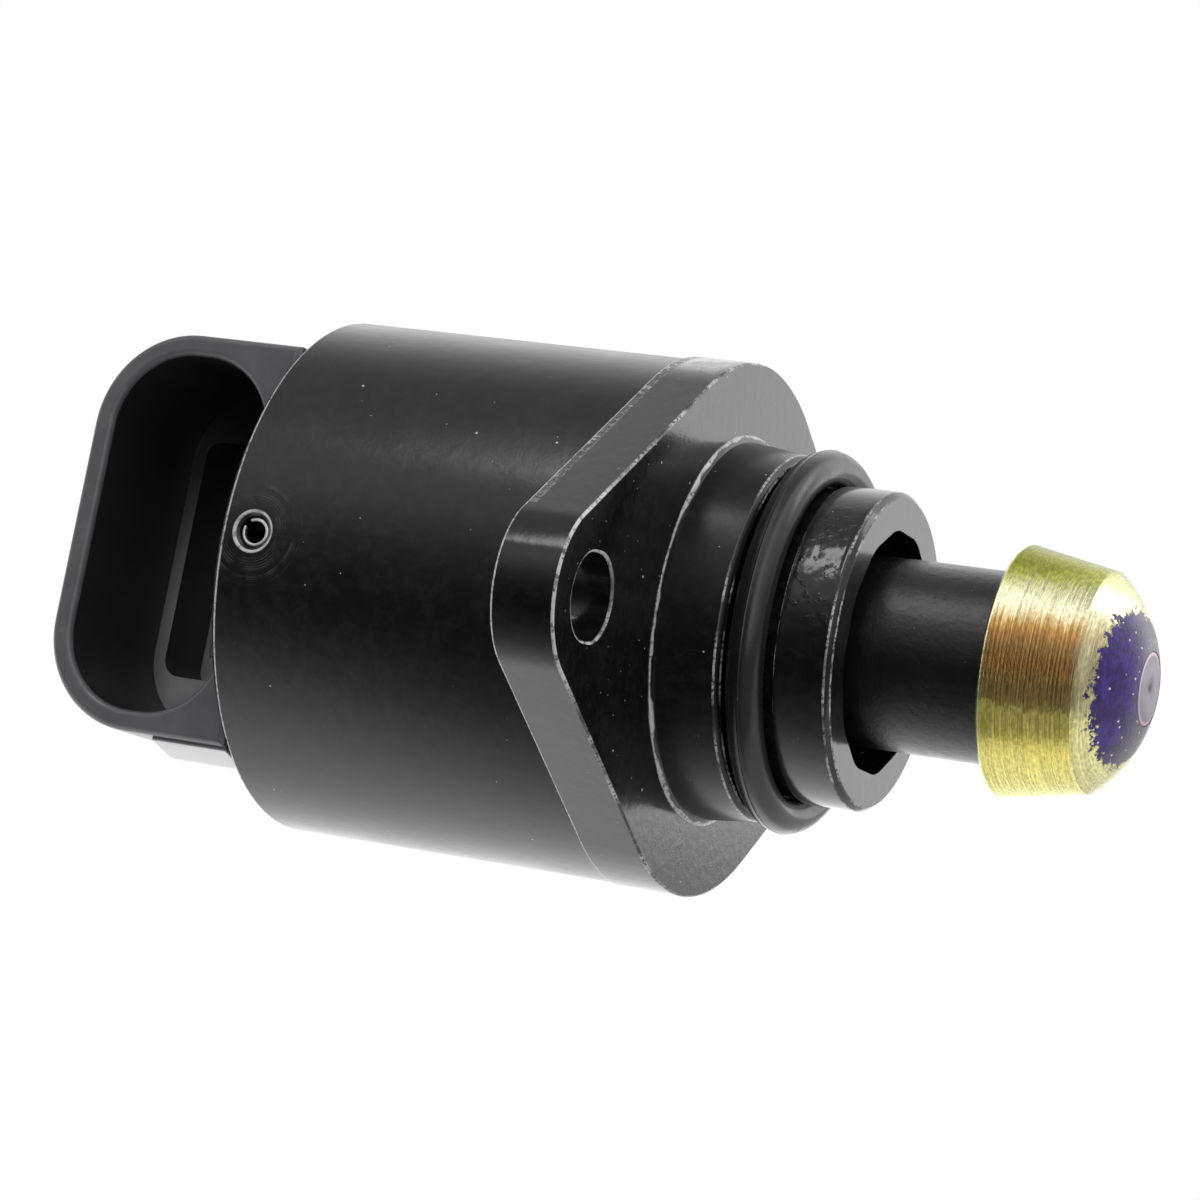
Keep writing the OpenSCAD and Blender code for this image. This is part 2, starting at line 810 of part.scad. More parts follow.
module wave_washer() {
    waves = 3;
    steps = 60;
    r_in = well_r + 2 * end_gap;
    r_out = bush_r - 2 * run_gap;
    x_mid = motor_back_x + wave_lift + wave_t / 2;
    // Four corners of the section at each step round the ring
    rows = [for (s = [0:steps - 1]) let (a = s * 360 / steps, x = x_mid + wave_lift * cos(waves * a))
        [for (c = [[r_in, -1], [r_out, -1], [r_out, 1], [r_in, 1]])
            [x + c[1] * wave_t / 2, c[0] * cos(a), c[0] * sin(a)]]];
    color("#aab0b6")
        polyhedron(
            points = [for (row = rows) each row],
            faces = [for (s = [0:steps - 1], k = [0:3]) let (n = (s + 1) % steps, m = (k + 1) % 4)
                each [[4 * s + k, 4 * s + m, 4 * n + m], [4 * s + k, 4 * n + m, 4 * n + k]]]);
}

module thrust_washer() {
    face_x = step_x - end_gap;
    color("#d9d2b4")
        ring(face_x - washer_t, face_x, well_r + end_gap / 2, bush_r);
}

// Plunger

module lead_screw() {
    tip_r = stem_d / 2;
    screw_back_x = nut_back_x - travel_out;
    color("#a9a58e")
        turned([[screw_back_x, 0], [screw_back_x, screw_d / 2 - screw_edge],
            [screw_back_x + screw_edge, screw_d / 2], [head_back_x, screw_d / 2],
            [head_back_x, tip_r], [tip_x, tip_r], [tip_x, 0]]);
}

module plunger_sleeve() {
    color("#232324")
        difference() {
            union() {
                twelve_sided(head_back_x, head_back_x + head_len, guide_af - 2 * run_gap);
                rod(head_back_x, pintle_x - tiny, sleeve_d / 2);
            }
            rod(head_back_x - over, pintle_x + over, stem_d / 2 + seat_gap / 2);
        }
}

// A taper with a spherical dome, faced off where the stem is riveted over
module pintle() {
    stem_r = stem_d / 2;
    shoulder_r = shoulder_d / 2;
    dome_len = pintle_len - taper_len;
    shoulder_x = pintle_x + taper_len;
    // Centre of the sphere through the shoulder and the edge of the stem
    centre_x = (pow(tip_x, 2) - pow(shoulder_x, 2) + pow(stem_r, 2) - pow(shoulder_r, 2))
        / (2 * dome_len);
    dome_r = norm([tip_x - centre_x, stem_r]);
    start = atan2(shoulder_r, shoulder_x - centre_x);
    stop = atan2(stem_r, tip_x - centre_x);
    dome = [for (k = [0:12]) let (a = start + (stop - start) * k / 12)
        [centre_x + dome_r * cos(a), dome_r * sin(a)]];
    color("#c8b24a")
        difference() {
            turned(concat([[pintle_x, 0], [pintle_x, pintle_d / 2 - edge / 2],
                [pintle_x + edge / 2, pintle_d / 2]], dome, [[tip_x, 0]]));
            rod(pintle_x - over, tip_x + over, stem_r + seat_gap / 2);
        }
}

housing();
nose_seal();
connector_cap();
cap_seal();
roll_pins();
terminal_1();
terminal_2();
terminal_3();
terminal_4();
contact_posts();
rear_bush();
rear_stator_cup();
rear_coil_former();
rear_coil();
rear_pole_plate();
front_pole_plate();
front_coil_former();
front_coil();
front_stator_cup();
bearing_outer_race();
bearing_inner_race();
bearing_cage();
bearing_balls();
wave_washer();
thrust_washer();
rotor_magnet();
rotor_hub();
rotor_nut();
lead_screw();
plunger_sleeve();
pintle();
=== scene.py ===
import math

import bpy
from bpy.props import (
    FloatProperty, FloatVectorProperty, IntProperty, PointerProperty,
)
from bpy.types import Operator, Panel, PropertyGroup
from mathutils import Matrix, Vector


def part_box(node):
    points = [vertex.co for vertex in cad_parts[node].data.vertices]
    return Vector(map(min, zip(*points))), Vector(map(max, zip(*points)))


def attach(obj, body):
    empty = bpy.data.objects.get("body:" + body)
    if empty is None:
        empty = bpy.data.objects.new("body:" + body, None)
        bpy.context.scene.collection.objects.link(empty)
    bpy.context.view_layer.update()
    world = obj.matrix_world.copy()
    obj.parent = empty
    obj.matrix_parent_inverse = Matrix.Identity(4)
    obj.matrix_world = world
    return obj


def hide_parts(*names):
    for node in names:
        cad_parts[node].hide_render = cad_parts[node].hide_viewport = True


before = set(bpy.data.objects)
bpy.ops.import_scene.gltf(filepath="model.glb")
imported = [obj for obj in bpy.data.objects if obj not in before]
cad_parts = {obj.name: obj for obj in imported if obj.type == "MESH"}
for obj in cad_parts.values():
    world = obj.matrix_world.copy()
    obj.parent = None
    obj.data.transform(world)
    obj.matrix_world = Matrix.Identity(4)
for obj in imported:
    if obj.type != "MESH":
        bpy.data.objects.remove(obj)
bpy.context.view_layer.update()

bl_info = {
    "name": "Idle Air Control Valve",
    "version": (1, 0, 0),
    "blender": (4, 5, 0),
    "location": "3D View > Sidebar > Valve",
    "description": "Models and finishes the pieces of an idle air control valve",
    "category": "Object",
}

MM = 0.001
AXIS_TURN = (0, math.pi / 2, 0)


# Sizes and colours


def length(name, text, default):
    """A length in millimetres, stored in metres."""
    return FloatProperty(name=name, description=text, default=default * MM, min=0.0,
                         unit="LENGTH", subtype="DISTANCE", precision=5)


def colour(name, text, default):
    return FloatVectorProperty(name=name, description=text, default=default, size=3,
                               min=0.0, max=1.0, subtype="COLOR")


def corner(node, end, axis):
    """One coordinate of a node's box: end 0 is the lowest corner and 1 the highest."""
    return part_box(node)[end][axis] / MM


class HousingSizes(PropertyGroup):
    barrel_r: length("Barrel radius", "Radius of the motor barrel", 17.1)
    barrel_len: length("Barrel length", "Length behind the flange's face", -corner("housing", 0, 0))
    nose_end: length("Nose end", "From the flange's face to the nose's end", corner("housing", 1, 0))
    flange_reach: length("Flange reach", "From the axis to the flange's tip", corner("housing", 1, 1))
    cavity_r: length("Cavity radius", "Radius of the room for the motor", 14.75)
    front_wall: length("Front wall", "Metal between the flange's face and the motor", 8.5)
    bearing_w: length("Bearing seat", "Depth of the ball bearing's seat", 3.5)
    bearing_r: length("Bearing seat radius", "Radius of the ball bearing's seat", 8.55)
    flange_t: length("Flange thickness", "Thickness of the flange", 4.1)
    flange_mid_r: length("Flange middle", "Radius of the flange's middle", 17.29)
    flange_end_r: length("Flange ends", "Radius of the flange's rounded ends", 5.5)
    slot_w: length("Slot width", "Width of a bolt slot", 5.3)
    slot_len: length("Slot length", "Length of a bolt slot", 6.0)
    spigot_r: length("Spigot radius", "Radius of the spigot", 11.8)
    spigot_len: length("Spigot length", "Length of the spigot", 4.3)
    groove_r: length("Groove radius", "Radius of the seal groove's floor", 9.9)
    groove_len: length("Groove length", "Width of the seal groove", 2.9)
    nose_r: length("Nose radius", "Radius of the nose", 10.2)
    guide_af: length("Guide bore", "Width across the flats of the guide bore", 15.3)
    edge: length("Edge chamfer", "Chamfer on the turned edges", 0.35)
    fillet: length("Foot fillet", "Fillet at the foot of the spigot", 0.45)
    edge_round: length("Edge rounding", "Rounding of the cast edges", 0.16)
    roll_x: FloatProperty(name="Pin place", description="Place of the roll pins along the axis",
                          default=(corner("housing", 0, 0) + 2.35) * MM, precision=5)
    hole_flare: length("Hole flare", "How much the mouth of a roll pin's hole widens", 0.3)
    guide_corner: length("Guide corners", "Length that the rounding takes of each flat", 0.8)
    guide_turn: FloatProperty(name="Guide turn", description="Angle of the guide's twelve sides",
                              default=math.radians(10.5), subtype="ANGLE")


class CapSizes(PropertyGroup):
    turn: FloatProperty(name="Turn", description="Angle of the connector from the bolt line",
                        default=math.radians(5), subtype="ANGLE")
    shroud_w: length("Shroud depth", "Depth of the shroud behind the barrel", 14.05)
    shroud_h: length("Shroud height", "Height of the shroud", 26.5)
    mouth_round: length("Mouth rounding", "Rounding of the mouth's edges", 0.42)
    mouth_out: length("Mouth", "Distance from the axis to the connector's mouth", 11.3)
    edge_round: length("Edge rounding", "Rounding of the moulded edges", 0.22)
    roll_r: length("Pin radius", "Radius of a roll pin", 1.0)
    wall: length("Socket wall", "Wall round the socket", 1.3)


class PlungerSizes(PropertyGroup):
    sleeve_r: length("Sleeve radius", "Radius of the plunger's sleeve", 6.1)
    stem_r: length("Stem radius", "Radius of the stem through the pintle", 2.35)
    screw_r: length("Screw radius", "Outer radius of the lead screw's thread", 2.0)
    pitch: length("Thread pitch", "Pitch of the lead screw", 1.0)
    taper_len: length("Taper", "Length of the pintle's taper", 5.7)
    shoulder_r: length("Shoulder radius", "Radius where the taper meets the dome", 6.95)
    lathe_marks: IntProperty(name="Lathe marks", description="Tool marks along the taper",
                             default=44, min=4, max=80)


class Finishes(PropertyGroup):
    coat: colour("Black coat", "Colour of the coated casting", (0.0035, 0.0035, 0.0036))
    # Also the colour of the coat's painted highlights and of its painted reflection on the flange's
    # top
    worn: colour("Worn edge", "Metal that shows on worn edges", (0.55, 0.55, 0.56))
    rubber: colour("Rubber", "Colour of the seals", (0.01, 0.01, 0.01))
    plastic: colour("Cap plastic", "Colour of the moulded cap", (0.085, 0.085, 0.09))
    # Painted shade: a darker copy of the cap's plastic, for the faces inside the socket
    socket: colour("Socket", "Colour inside the cap's socket", (0.012, 0.012, 0.0125))
    # Painted light: a lighter copy of the cap's plastic, for the ledge inside the socket
    ledge: colour("Ledge", "Colour of the ledge in the socket", (0.3, 0.3, 0.31))
    steel: colour("Spring steel", "Colour of the roll pins", (0.8, 0.8, 0.8))
    brass: colour("Brass", "Brass that shows through the tin", (0.72, 0.6, 0.34))
    zinc: colour("Yellow zinc", "Main colour of the pintle", (0.62, 0.56, 0.16))
    lacquer: colour("Lacquer", "Colour of the lacquer on the pintle", (0.028, 0.014, 0.11))
    sleeve: colour("Sleeve", "Colour of the plunger's sleeve", (0.005, 0.005, 0.005))


def spot(name, text, default):
    return FloatVectorProperty(name=name, description=text, default=default, size=3,
                               subtype="TRANSLATION", precision=5)


class StageSettings(PropertyGroup):
    floor_drop: length("Floor depth", "How far the floor lies below the valve's axis", 62.0)
    floor_front: length("Floor front", "How far the floor reaches in front", 400.0)
    floor_size: length("Floor size", "Width of the floor", 3000.0)
    lens: FloatProperty(name="Lens", description="Focal length in mm", default=117.945)
    camera_place: spot("Camera", "Place of the camera", (0.09156, -0.23546, -0.00938))
    camera_turn: FloatVectorProperty(name="Camera turn", description="Angles of the camera",
                                     default=[math.radians(a) for a in (92.3203, -8.7355, 22.7965)],
                                     subtype="EULER")
    key_place: spot("Key lamp", "Place of the main lamp", (-0.076, -0.128, 0.232))
    key_power: FloatProperty(name="Key light", description="Power of the main lamp in W",
                             default=0.1)
    side_place: spot("Side lamp", "Place of the side lamp", (0.225, 0.135, 0.25))
    side_power: FloatProperty(name="Side light", description="Power of the side lamp in W",
                              default=0.12)


# Modelling helpers


def start():
    """Leaves edit mode and deselects everything."""
    if bpy.context.object and bpy.context.object.mode != "OBJECT":
        bpy.ops.object.mode_set(mode="OBJECT")
    bpy.ops.object.select_all(action="DESELECT")


def only(obj):
    start()
    obj.select_set(True)
    bpy.context.view_layer.objects.active = obj


def place_in_mesh(obj):
    """Moves the object's place, turn and scale into its mesh."""
    only(obj)
    bpy.ops.object.transform_apply(location=True, rotation=True, scale=True)


def edit(obj):
    only(obj)
    bpy.ops.object.mode_set(mode="EDIT")
    bpy.ops.mesh.select_mode(type="VERT")
    bpy.ops.mesh.select_all(action="SELECT")


def done():
    bpy.ops.object.mode_set(mode="OBJECT")
    return bpy.context.object


def ring(name, x, r, sides):
    """A ring of vertices round the valve's axis."""
    start()
    bpy.ops.mesh.primitive_circle_add(vertices=sides, radius=r, location=(x, 0, 0),
                                      rotation=AXIS_TURN)
    obj = bpy.context.object
    obj.name = name
    obj.data.name = name
    place_in_mesh(obj)
    edit(obj)
    return obj


def turned(name, profile, sides=144, closed=False):
    """A turned piece: a ring is extruded along X and scaled at each (x, radius) of the profile."""
    x, r = profile[0]
    ring(name, x, r, sides)
    for next_x, next_r in profile[1:]:
        bpy.ops.mesh.extrude_edges_move(TRANSFORM_OT_translate={"value": (next_x - x, 0, 0)})
        grow = next_r / r
        bpy.ops.transform.resize(value=(1, grow, grow), center_override=(next_x, 0, 0))
        x, r = next_x, next_r
    bpy.ops.mesh.select_all(action="SELECT")
    if closed:
        bpy.ops.mesh.remove_doubles(threshold=0.0005 * MM)
    else:
        bpy.ops.mesh.fill_holes(sides=0)
    bpy.ops.mesh.normals_make_consistent(inside=False)
    return done()


def rod(name, centre, r, depth, rotation, sides=48):
    start()
    bpy.ops.mesh.primitive_cylinder_add(vertices=sides, radius=r, depth=depth, location=centre,
                                        rotation=rotation)
    obj = bpy.context.object
    obj.name = name
    place_in_mesh(obj)
    return obj


def join(name, *parts):
    start()
    for part in parts:
        part.select_set(True)
    bpy.context.view_layer.objects.active = parts[0]
    bpy.ops.object.join()
    bpy.context.object.name = name
    return bpy.context.object


def combine(obj, tool, operation):
    """Adds or cuts with another mesh, which is used up."""
    only(obj)
    bpy.ops.object.modifier_add(type="BOOLEAN")
    modifier = obj.modifiers[-1]
    modifier.operation = operation
    modifier.solver = "EXACT"
    modifier.object = tool
    bpy.ops.object.modifier_apply(modifier=modifier.name)
    bpy.data.objects.remove(tool)
    return obj


def tidy_faces(obj, angle=0.4):
    """Merges doubles and dissolves edges between faces that lie in one plane."""
    edit(obj)
    bpy.ops.mesh.remove_doubles(threshold=0.002 * MM)
    bpy.ops.mesh.dissolve_degenerate(threshold=0.002 * MM)
    bpy.ops.mesh.dissolve_limited(angle_limit=math.radians(angle))
    return done()


def bevel_edges(obj, test, width, segments):
    """Rounds the edges whose two ends pass a test."""
    start()
    mesh = obj.data
    for vertex in mesh.vertices:
        vertex.select = False
    for edge in mesh.edges:
        edge.select = test(*(mesh.vertices[i].co for i in edge.vertices))
    for face in mesh.polygons:
        face.select = False
    only(obj)
    bpy.ops.object.mode_set(mode="EDIT")
    bpy.ops.mesh.select_mode(type="EDGE")
    bpy.ops.mesh.bevel(offset=width, segments=segments, affect="EDGES")
    return done()


def dress(obj, materials, index=0):
    """Gives a mesh its materials, all its faces using one of them."""
    for material in materials:
        obj.data.materials.append(material)
    for face in obj.data.polygons:
        face.material_index = index
    return obj


def round_edges(obj, width, segments=3, angle=30, material=-1):
    """Rounds every edge that is sharper than the angle."""
    only(obj)
    bpy.ops.object.modifier_add(type="BEVEL")
    modifier = obj.modifiers[-1]
    modifier.width = width
    modifier.segments = segments
    modifier.limit_method = "ANGLE"
    modifier.angle_limit = math.radians(angle)
    modifier.material = material
    modifier.miter_outer = "MITER_ARC"
    bpy.ops.object.modifier_apply(modifier=modifier.name)
    return obj


def smooth(obj, angle=35, flat_faces=True):
    """Smooth shading up to the angle. Large faces keep their own normals at rounded edges."""
    only(obj)
    bpy.ops.object.shade_smooth_by_angle(angle=math.radians(angle))
    if flat_faces:
        bpy.ops.object.modifier_add(type="WEIGHTED_NORMAL")
        modifier = obj.modifiers[-1]
        modifier.weight = 100
        modifier.keep_sharp = True
        bpy.ops.object.modifier_apply(modifier=modifier.name)
    return obj


def copy_of(node, name):
    """A merged copy of a CAD node's mesh, as an object of its own."""
    start()
    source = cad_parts[node]
    obj = bpy.data.objects.new(name, source.data.copy())
    obj.data.materials.clear()
    bpy.context.scene.collection.objects.link(obj)
    return tidy_faces(obj)


def finish_piece(obj, body, slot, nodes, *materials):
    """Gives a piece its materials and its body, and hides the nodes that it stands for. The slot is
    not used.
    """
    if len(obj.data.materials) == 0:
        for material in materials:
            obj.data.materials.append(material)
    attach(obj, body)
    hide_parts(*nodes)
    return obj


# Material helpers


class Graph:
    """The shader nodes of a material or a world while they are made."""

    def __init__(self, owner):
        owner.use_nodes = True
        self.tree = owner.node_tree

    def node(self, kind, **values):
        made = self.tree.nodes.new(kind)
        for key, value in values.items():
            name = key.replace("_", " ")
            if name in made.inputs:
                made.inputs[name].default_value = value
            else:
                setattr(made, key, value)
        return made

    def link(self, out, into):
        self.tree.links.new(out, into)

    def put(self, value, socket):
        """Sets a socket to a value, or links another socket to it."""
        if isinstance(value, bpy.types.NodeSocket):
            self.link(value, socket)
        else:
            socket.default_value = value

    def parts(self, vector):
        made = self.node("ShaderNodeSeparateXYZ")
        self.link(vector, made.inputs[0])
        return made.outputs

    def ramp(self, value, low, high, at_low, at_high):
        made = self.node("ShaderNodeMapRange")
        self.link(value, made.inputs["Value"])
        for name, number in zip(("From Min", "From Max", "To Min", "To Max"),
                                (low, high, at_low, at_high)):
            made.inputs[name].default_value = number
        return made.outputs[0]

    def between(self, value, low, high, soft):
        """1 between two bounds, falling to 0 outside them."""
        return self.times(self.ramp(value, low - soft, low, 0, 1),
                          self.ramp(value, high, high + soft, 1, 0))

    def math(self, operation, a, b=0.0):
        made = self.node("ShaderNodeMath", operation=operation)
        self.put(a, made.inputs[0])
        self.put(b, made.inputs[1])
        return made.outputs[0]

    def times(self, value, *factors):
        for factor in factors:
            value = self.math("MULTIPLY", value, factor)
        return value

    def most(self, value, *others):
        for other in others:
            value = self.math("MAXIMUM", value, other)
        return value

    def distance(self, a, b):
        return self.math("SQRT", self.math("ADD", self.times(a, a), self.times(b, b)))

    def blend(self, factor, a, b):
        """A number between a and b."""
        made = self.node("ShaderNodeMix")
        for name, value in (("Factor", factor), ("A", a), ("B", b)):
            self.put(value, made.inputs[name])
        return made.outputs[0]

    def mix(self, factor, a, b, **values):
        """A colour between a and b. Each is a socket or a colour."""
        made = self.node("ShaderNodeMix", data_type="RGBA", **values)
        self.put(factor, made.inputs["Factor"])
        for socket, value in ((made.inputs[6], a), (made.inputs[7], b)):
            self.put(value if isinstance(value, bpy.types.NodeSocket) else (*value, 1), socket)
        return made.outputs[2]

    def tones(self, value, stops):
        """A colour along a value from 0 to 1: stops are (place, colour)."""
        made = self.node("ShaderNodeValToRGB")
        elements = made.color_ramp.elements
        while len(elements) < len(stops):
            elements.new(0.5)
        for element, (at, tone) in zip(elements, stops):
            element.position = at
            element.color = (*tone, 1)
        self.link(value, made.inputs[0])
        return made.outputs[0]

    def strength(self, value, low, high, stops):
        """Brightness along a value: stops are (value, brightness)."""
        top = max(light for _, light in stops)
        greys = [((at - low) / (high - low), (light / top,) * 3) for at, light in stops]
        return self.times(self.tones(self.ramp(value, low, high, 0, 1), greys), top)

    def white_for_camera(self, strength):
        """Brightness 1 for what the camera sees, and the given one for light and reflections."""
        path = self.node("ShaderNodeLightPath")
        return self.blend(path.outputs["Is Camera Ray"], strength, 1.0)


class Finish(Graph):
    """A material round one principled shader, with its coordinates in millimetres."""

    def __init__(self, name, rough=0.5, metallic=0.0, base=(0.5, 0.5, 0.5)):
        self.material = bpy.data.materials.new(name)
        super().__init__(self.material)
        self.shader = self.tree.nodes["Principled BSDF"]
        self.shader.inputs["Base Color"].default_value = (*base, 1)
        self.shader.inputs["Roughness"].default_value = rough
        self.shader.inputs["Metallic"].default_value = metallic
        here = self.node("ShaderNodeTexCoord")
        self.mm = self.node("ShaderNodeVectorMath", operation="SCALE", Scale=1 / MM)
        self.link(here.outputs["Object"], self.mm.inputs[0])
        self.height = None

    def split(self):
        return self.parts(self.mm.outputs[0])

    def stretched(self, scale):
        """Coordinates in millimetres, stretched by a factor for each axis."""
        mapping = self.node("ShaderNodeMapping", Scale=scale)
        self.link(self.mm.outputs[0], mapping.inputs["Vector"])
        return mapping.outputs[0]

    def noise(self, scale, detail=3.0, rough=0.5, at=None):
        made = self.node("ShaderNodeTexNoise", Scale=scale, Detail=detail, Roughness=rough)
        self.link(at or self.mm.outputs[0], made.inputs["Vector"])
        return made.outputs["Fac"]

    def cells(self, scale):
        """Irregular cells: the distance to the nearest centre, and a random number for each."""
        made = self.node("ShaderNodeTexVoronoi", Scale=scale)
        self.link(self.mm.outputs[0], made.inputs["Vector"])
        chance = self.node("ShaderNodeSeparateColor")
        self.link(made.outputs["Color"], chance.inputs[0])
        return made.outputs["Distance"], chance.outputs[0]

    def specks(self, scale, size, share):
        """1 inside small round specks, one in some of the cells."""
        away, chance = self.cells(scale)
        return self.times(self.ramp(away, size * 0.6, size, 1, 0),
                          self.ramp(chance, 1 - share, 1 - share + 0.01, 0, 1))

    def patches(self):
        """0 to 1 in ragged patches, with long stretches of neither."""
        return self.times(self.ramp(self.noise(0.3, 2), 0.44, 0.58, 0, 1),
                          self.ramp(self.noise(4.0, 4, 0.6), 0.38, 0.56, 0, 1))

    def colour(self, socket):
        self.link(socket, self.shader.inputs["Base Color"])

    def rough(self, socket):
        self.link(socket, self.shader.inputs["Roughness"])

    def bump(self, height, depth):
        """Adds relief, depth in millimetres, on top of what is there."""
        made = self.node("ShaderNodeBump", Strength=1.0, Distance=depth * MM)
        self.link(height, made.inputs["Height"])
        if self.height:
            self.link(self.height, made.inputs["Normal"])
        self.height = made.outputs[0]
        self.link(self.height, self.shader.inputs["Normal"])


def shade(tint, factor):
    """A colour made lighter or darker."""
    return tuple(factor * c for c in tint)


def black_coat(name, tint, worn, rough, sheen, pin):
    """Black coat on the casting: dust, bright lines partly rubbed and partly painted highlight, a
    painted reflection on top, and flash along the flange's back.
    """
    f = Finish(name, rough=rough)
    f.shader.inputs["Specular IOR Level"].default_value = sheen
    x, y, z = f.split()
    on_barrel = f.ramp(x, -4.6, -4.1, 1, 0)
    base = f.ramp(f.noise(0.25, 4), 0.3, 0.7, rough - 0.03, rough + 0.03)
    f.rough(f.math("ADD", base, f.times(on_barrel, 0.09)))
    dust = f.most(f.specks(0.55, 0.055, 0.3), f.specks(1.7, 0.08, 0.07))
    # Flash along the flange's back edge, above the bolt slots: pale chips, partly a painted highlight
    # along the flash, and pits
    near_back = f.times(f.between(x, -3.96, -3.5, 0.05), f.ramp(z, 5, 7.5, 0, 1))
    lumps = f.noise(1.5, 5, 0.7)
    chips_and_highlight = f.times(near_back, f.ramp(lumps, 0.54, 0.6, 0, 0.7))
    pits = f.times(near_back, f.ramp(lumps, 0.44, 0.49, 1, 0))
    # On top of the flange a bright patch: a painted reflection of the white surround
    top_reflection = f.times(f.between(x, -3.2, -0.7, 0.3), f.ramp(z, 15.4, 16.3, 0, 1),
                      f.ramp(f.noise(0.5, 4, 0.6), 0.4, 0.5, 0, 0.5))
    # The foot of the spigot: a painted highlight in the fillet, a thin line, thicker in places
    wide = f.ramp(f.noise(0.35, 2), 0.45, 0.6, 0, 0.1)
    foot = f.times(f.ramp(f.math("SUBTRACT", x, wide), 0.06, 0.1, 1, 0),
                   f.ramp(x, 0.02, 0.04, 0, 1),
                   f.ramp(f.noise(2.5, 4, 0.6), 0.35, 0.5, 0.15, 0.8))
    # The roll pins' holes: a bright rim, and faint rings left by the punch
    side = f.times(f.math("SIGN", y), -1)
    away = f.distance(f.math("SUBTRACT", x, pin[0]), f.math("SUBTRACT", f.times(z, side), pin[1]))
    rim = f.times(f.between(away, 1.23, 1.37, 0.05), f.ramp(f.noise(1.6, 3), 0.34, 0.5, 0.3, 1))
    rings = f.times(f.ramp(f.noise(6.0, 2, at=away), 0.5, 0.62, 0, 0.08),
                    f.between(away, 1.8, 3.2, 0.4), f.ramp(f.noise(0.7, 3), 0.45, 0.6, 0, 1))
    # Dust, chips, the painted reflection on top, the painted highlight at the foot and the pin holes'
    # marks take the worn colour
    marks = f.most(dust, chips_and_highlight, top_reflection, foot, rim, rings)
    soiled = f.mix(f.ramp(f.noise(1.1, 7, 0.7), 0.45, 0.75, 0, 1), tint, shade(tint, 4))
    f.colour(f.mix(marks, soiled, worn))
    f.bump(f.noise(1.2, 3), 0.012)
    f.bump(f.noise(7.0, 3), 0.003)
    # The nose's coat is blistered in places
    on_nose = f.times(f.ramp(x, 7.4, 8.2, 0, 1), f.between(z, 2, 7, 2),
                      f.ramp(x, 10.2, 10.4, 1, 0))
    f.bump(f.times(on_nose, f.noise(0.9, 1)), 0.09)
    f.bump(f.times(on_nose, f.ramp(f.noise(1.3, 3), 0.56, 0.6, 0, 1)), 0.02)
    f.bump(f.math("SUBTRACT", chips_and_highlight, pits), 0.5)
    f.bump(dust, 0.02)
    return f.material


def edge_wear_and_highlight(tint, worn):
    """The coat's rounded edges, rubbed through to the metal here and there, their pale colour partly a
    painted highlight.
    """
    f = Finish("edge_wear_and_highlight", rough=0.2)
    x, y, z = f.split()
    # The flange's back edge and ends, and the barrel's rim, are rubbed most and carry the most painted
    # highlight
    back = f.most(f.between(x, -4.5, -3.8, 0.1), f.ramp(x, -27.9, -27.7, 1, 0))
    ends = f.times(f.ramp(f.math("ABSOLUTE", y), 19, 22, 0, 1), f.between(z, -5, 6, 2), 1.3)
    ragged = f.ramp(f.noise(2.2, 5, 0.7), 0.4, 0.5, 0.1, 1)
    wear_and_highlight = f.times(f.most(f.patches(), f.times(f.most(back, ends), ragged)), 0.8)
    f.colour(f.mix(wear_and_highlight, shade(tint, 4), worn))
    f.rough(f.ramp(wear_and_highlight, 0, 1, 0.14, 0.4))
    f.bump(f.noise(3.0, 5), 0.03)
    return f.material


def rubber(tint):
    f = Finish("seal_rubber", rough=0.26, base=tint)
    f.shader.inputs["Specular IOR Level"].default_value = 0.5
    f.rough(f.ramp(f.noise(0.6, 4), 0.3, 0.7, 0.2, 0.32))
    f.colour(f.mix(f.specks(1.2, 0.06, 0.12), tint, (0.12, 0.12, 0.12)))
    f.bump(f.noise(9.0, 3), 0.006)
    return f.material


def cap_plastic(name, tint, lean, shade_colour=None):
    """Matte moulded plastic. Where a shade colour is given, painted shade darkens it upwards and
    outwards to that colour.
    """
    f = Finish(name, rough=0.35, base=tint)
    f.rough(f.ramp(f.noise(0.18, 4), 0.3, 0.7, 0.28, 0.4))
    x, y, z = f.split()
    plain = f.mix(f.ramp(f.noise(0.5, 5, 0.6), 0.35, 0.75, 0, 1), tint, shade(tint, 1.35))
    if shade_colour:
        # Painted shade on the ledge: full colour low down and towards the barrel, fading to the shade
        # colour upwards and at the back
        lit = f.times(f.ramp(z, -3, 6, 1, 0), f.ramp(x, -41.2, -39.4, 0.3, 1))
        plain = f.mix(lit, shade_colour, plain)
    else:
        # Painted light on the latch ramp, below the shroud: a pale patch
        below = f.math("ADD", f.times(z, math.cos(lean)), f.times(y, math.sin(lean)))
        plain = f.mix(f.ramp(below, -13.6, -13.35, 1, 0), plain, (0.5, 0.5, 0.51))
    f.colour(f.mix(f.specks(0.8, 0.05, 0.1), plain, (0.3, 0.3, 0.3)))
    f.bump(f.noise(12.0, 2), 0.008)
    return f.material


def satin_sleeve(tint):
    f = Finish("sleeve_black", rough=0.25, base=tint)
    f.rough(f.ramp(f.noise(0.9, 4), 0.3, 0.7, 0.2, 0.3))
    f.colour(f.mix(f.specks(1.1, 0.06, 0.2), tint, (0.1, 0.1, 0.1)))
    f.bump(f.noise(1.6, 6, 0.7), 0.05)
    return f.material


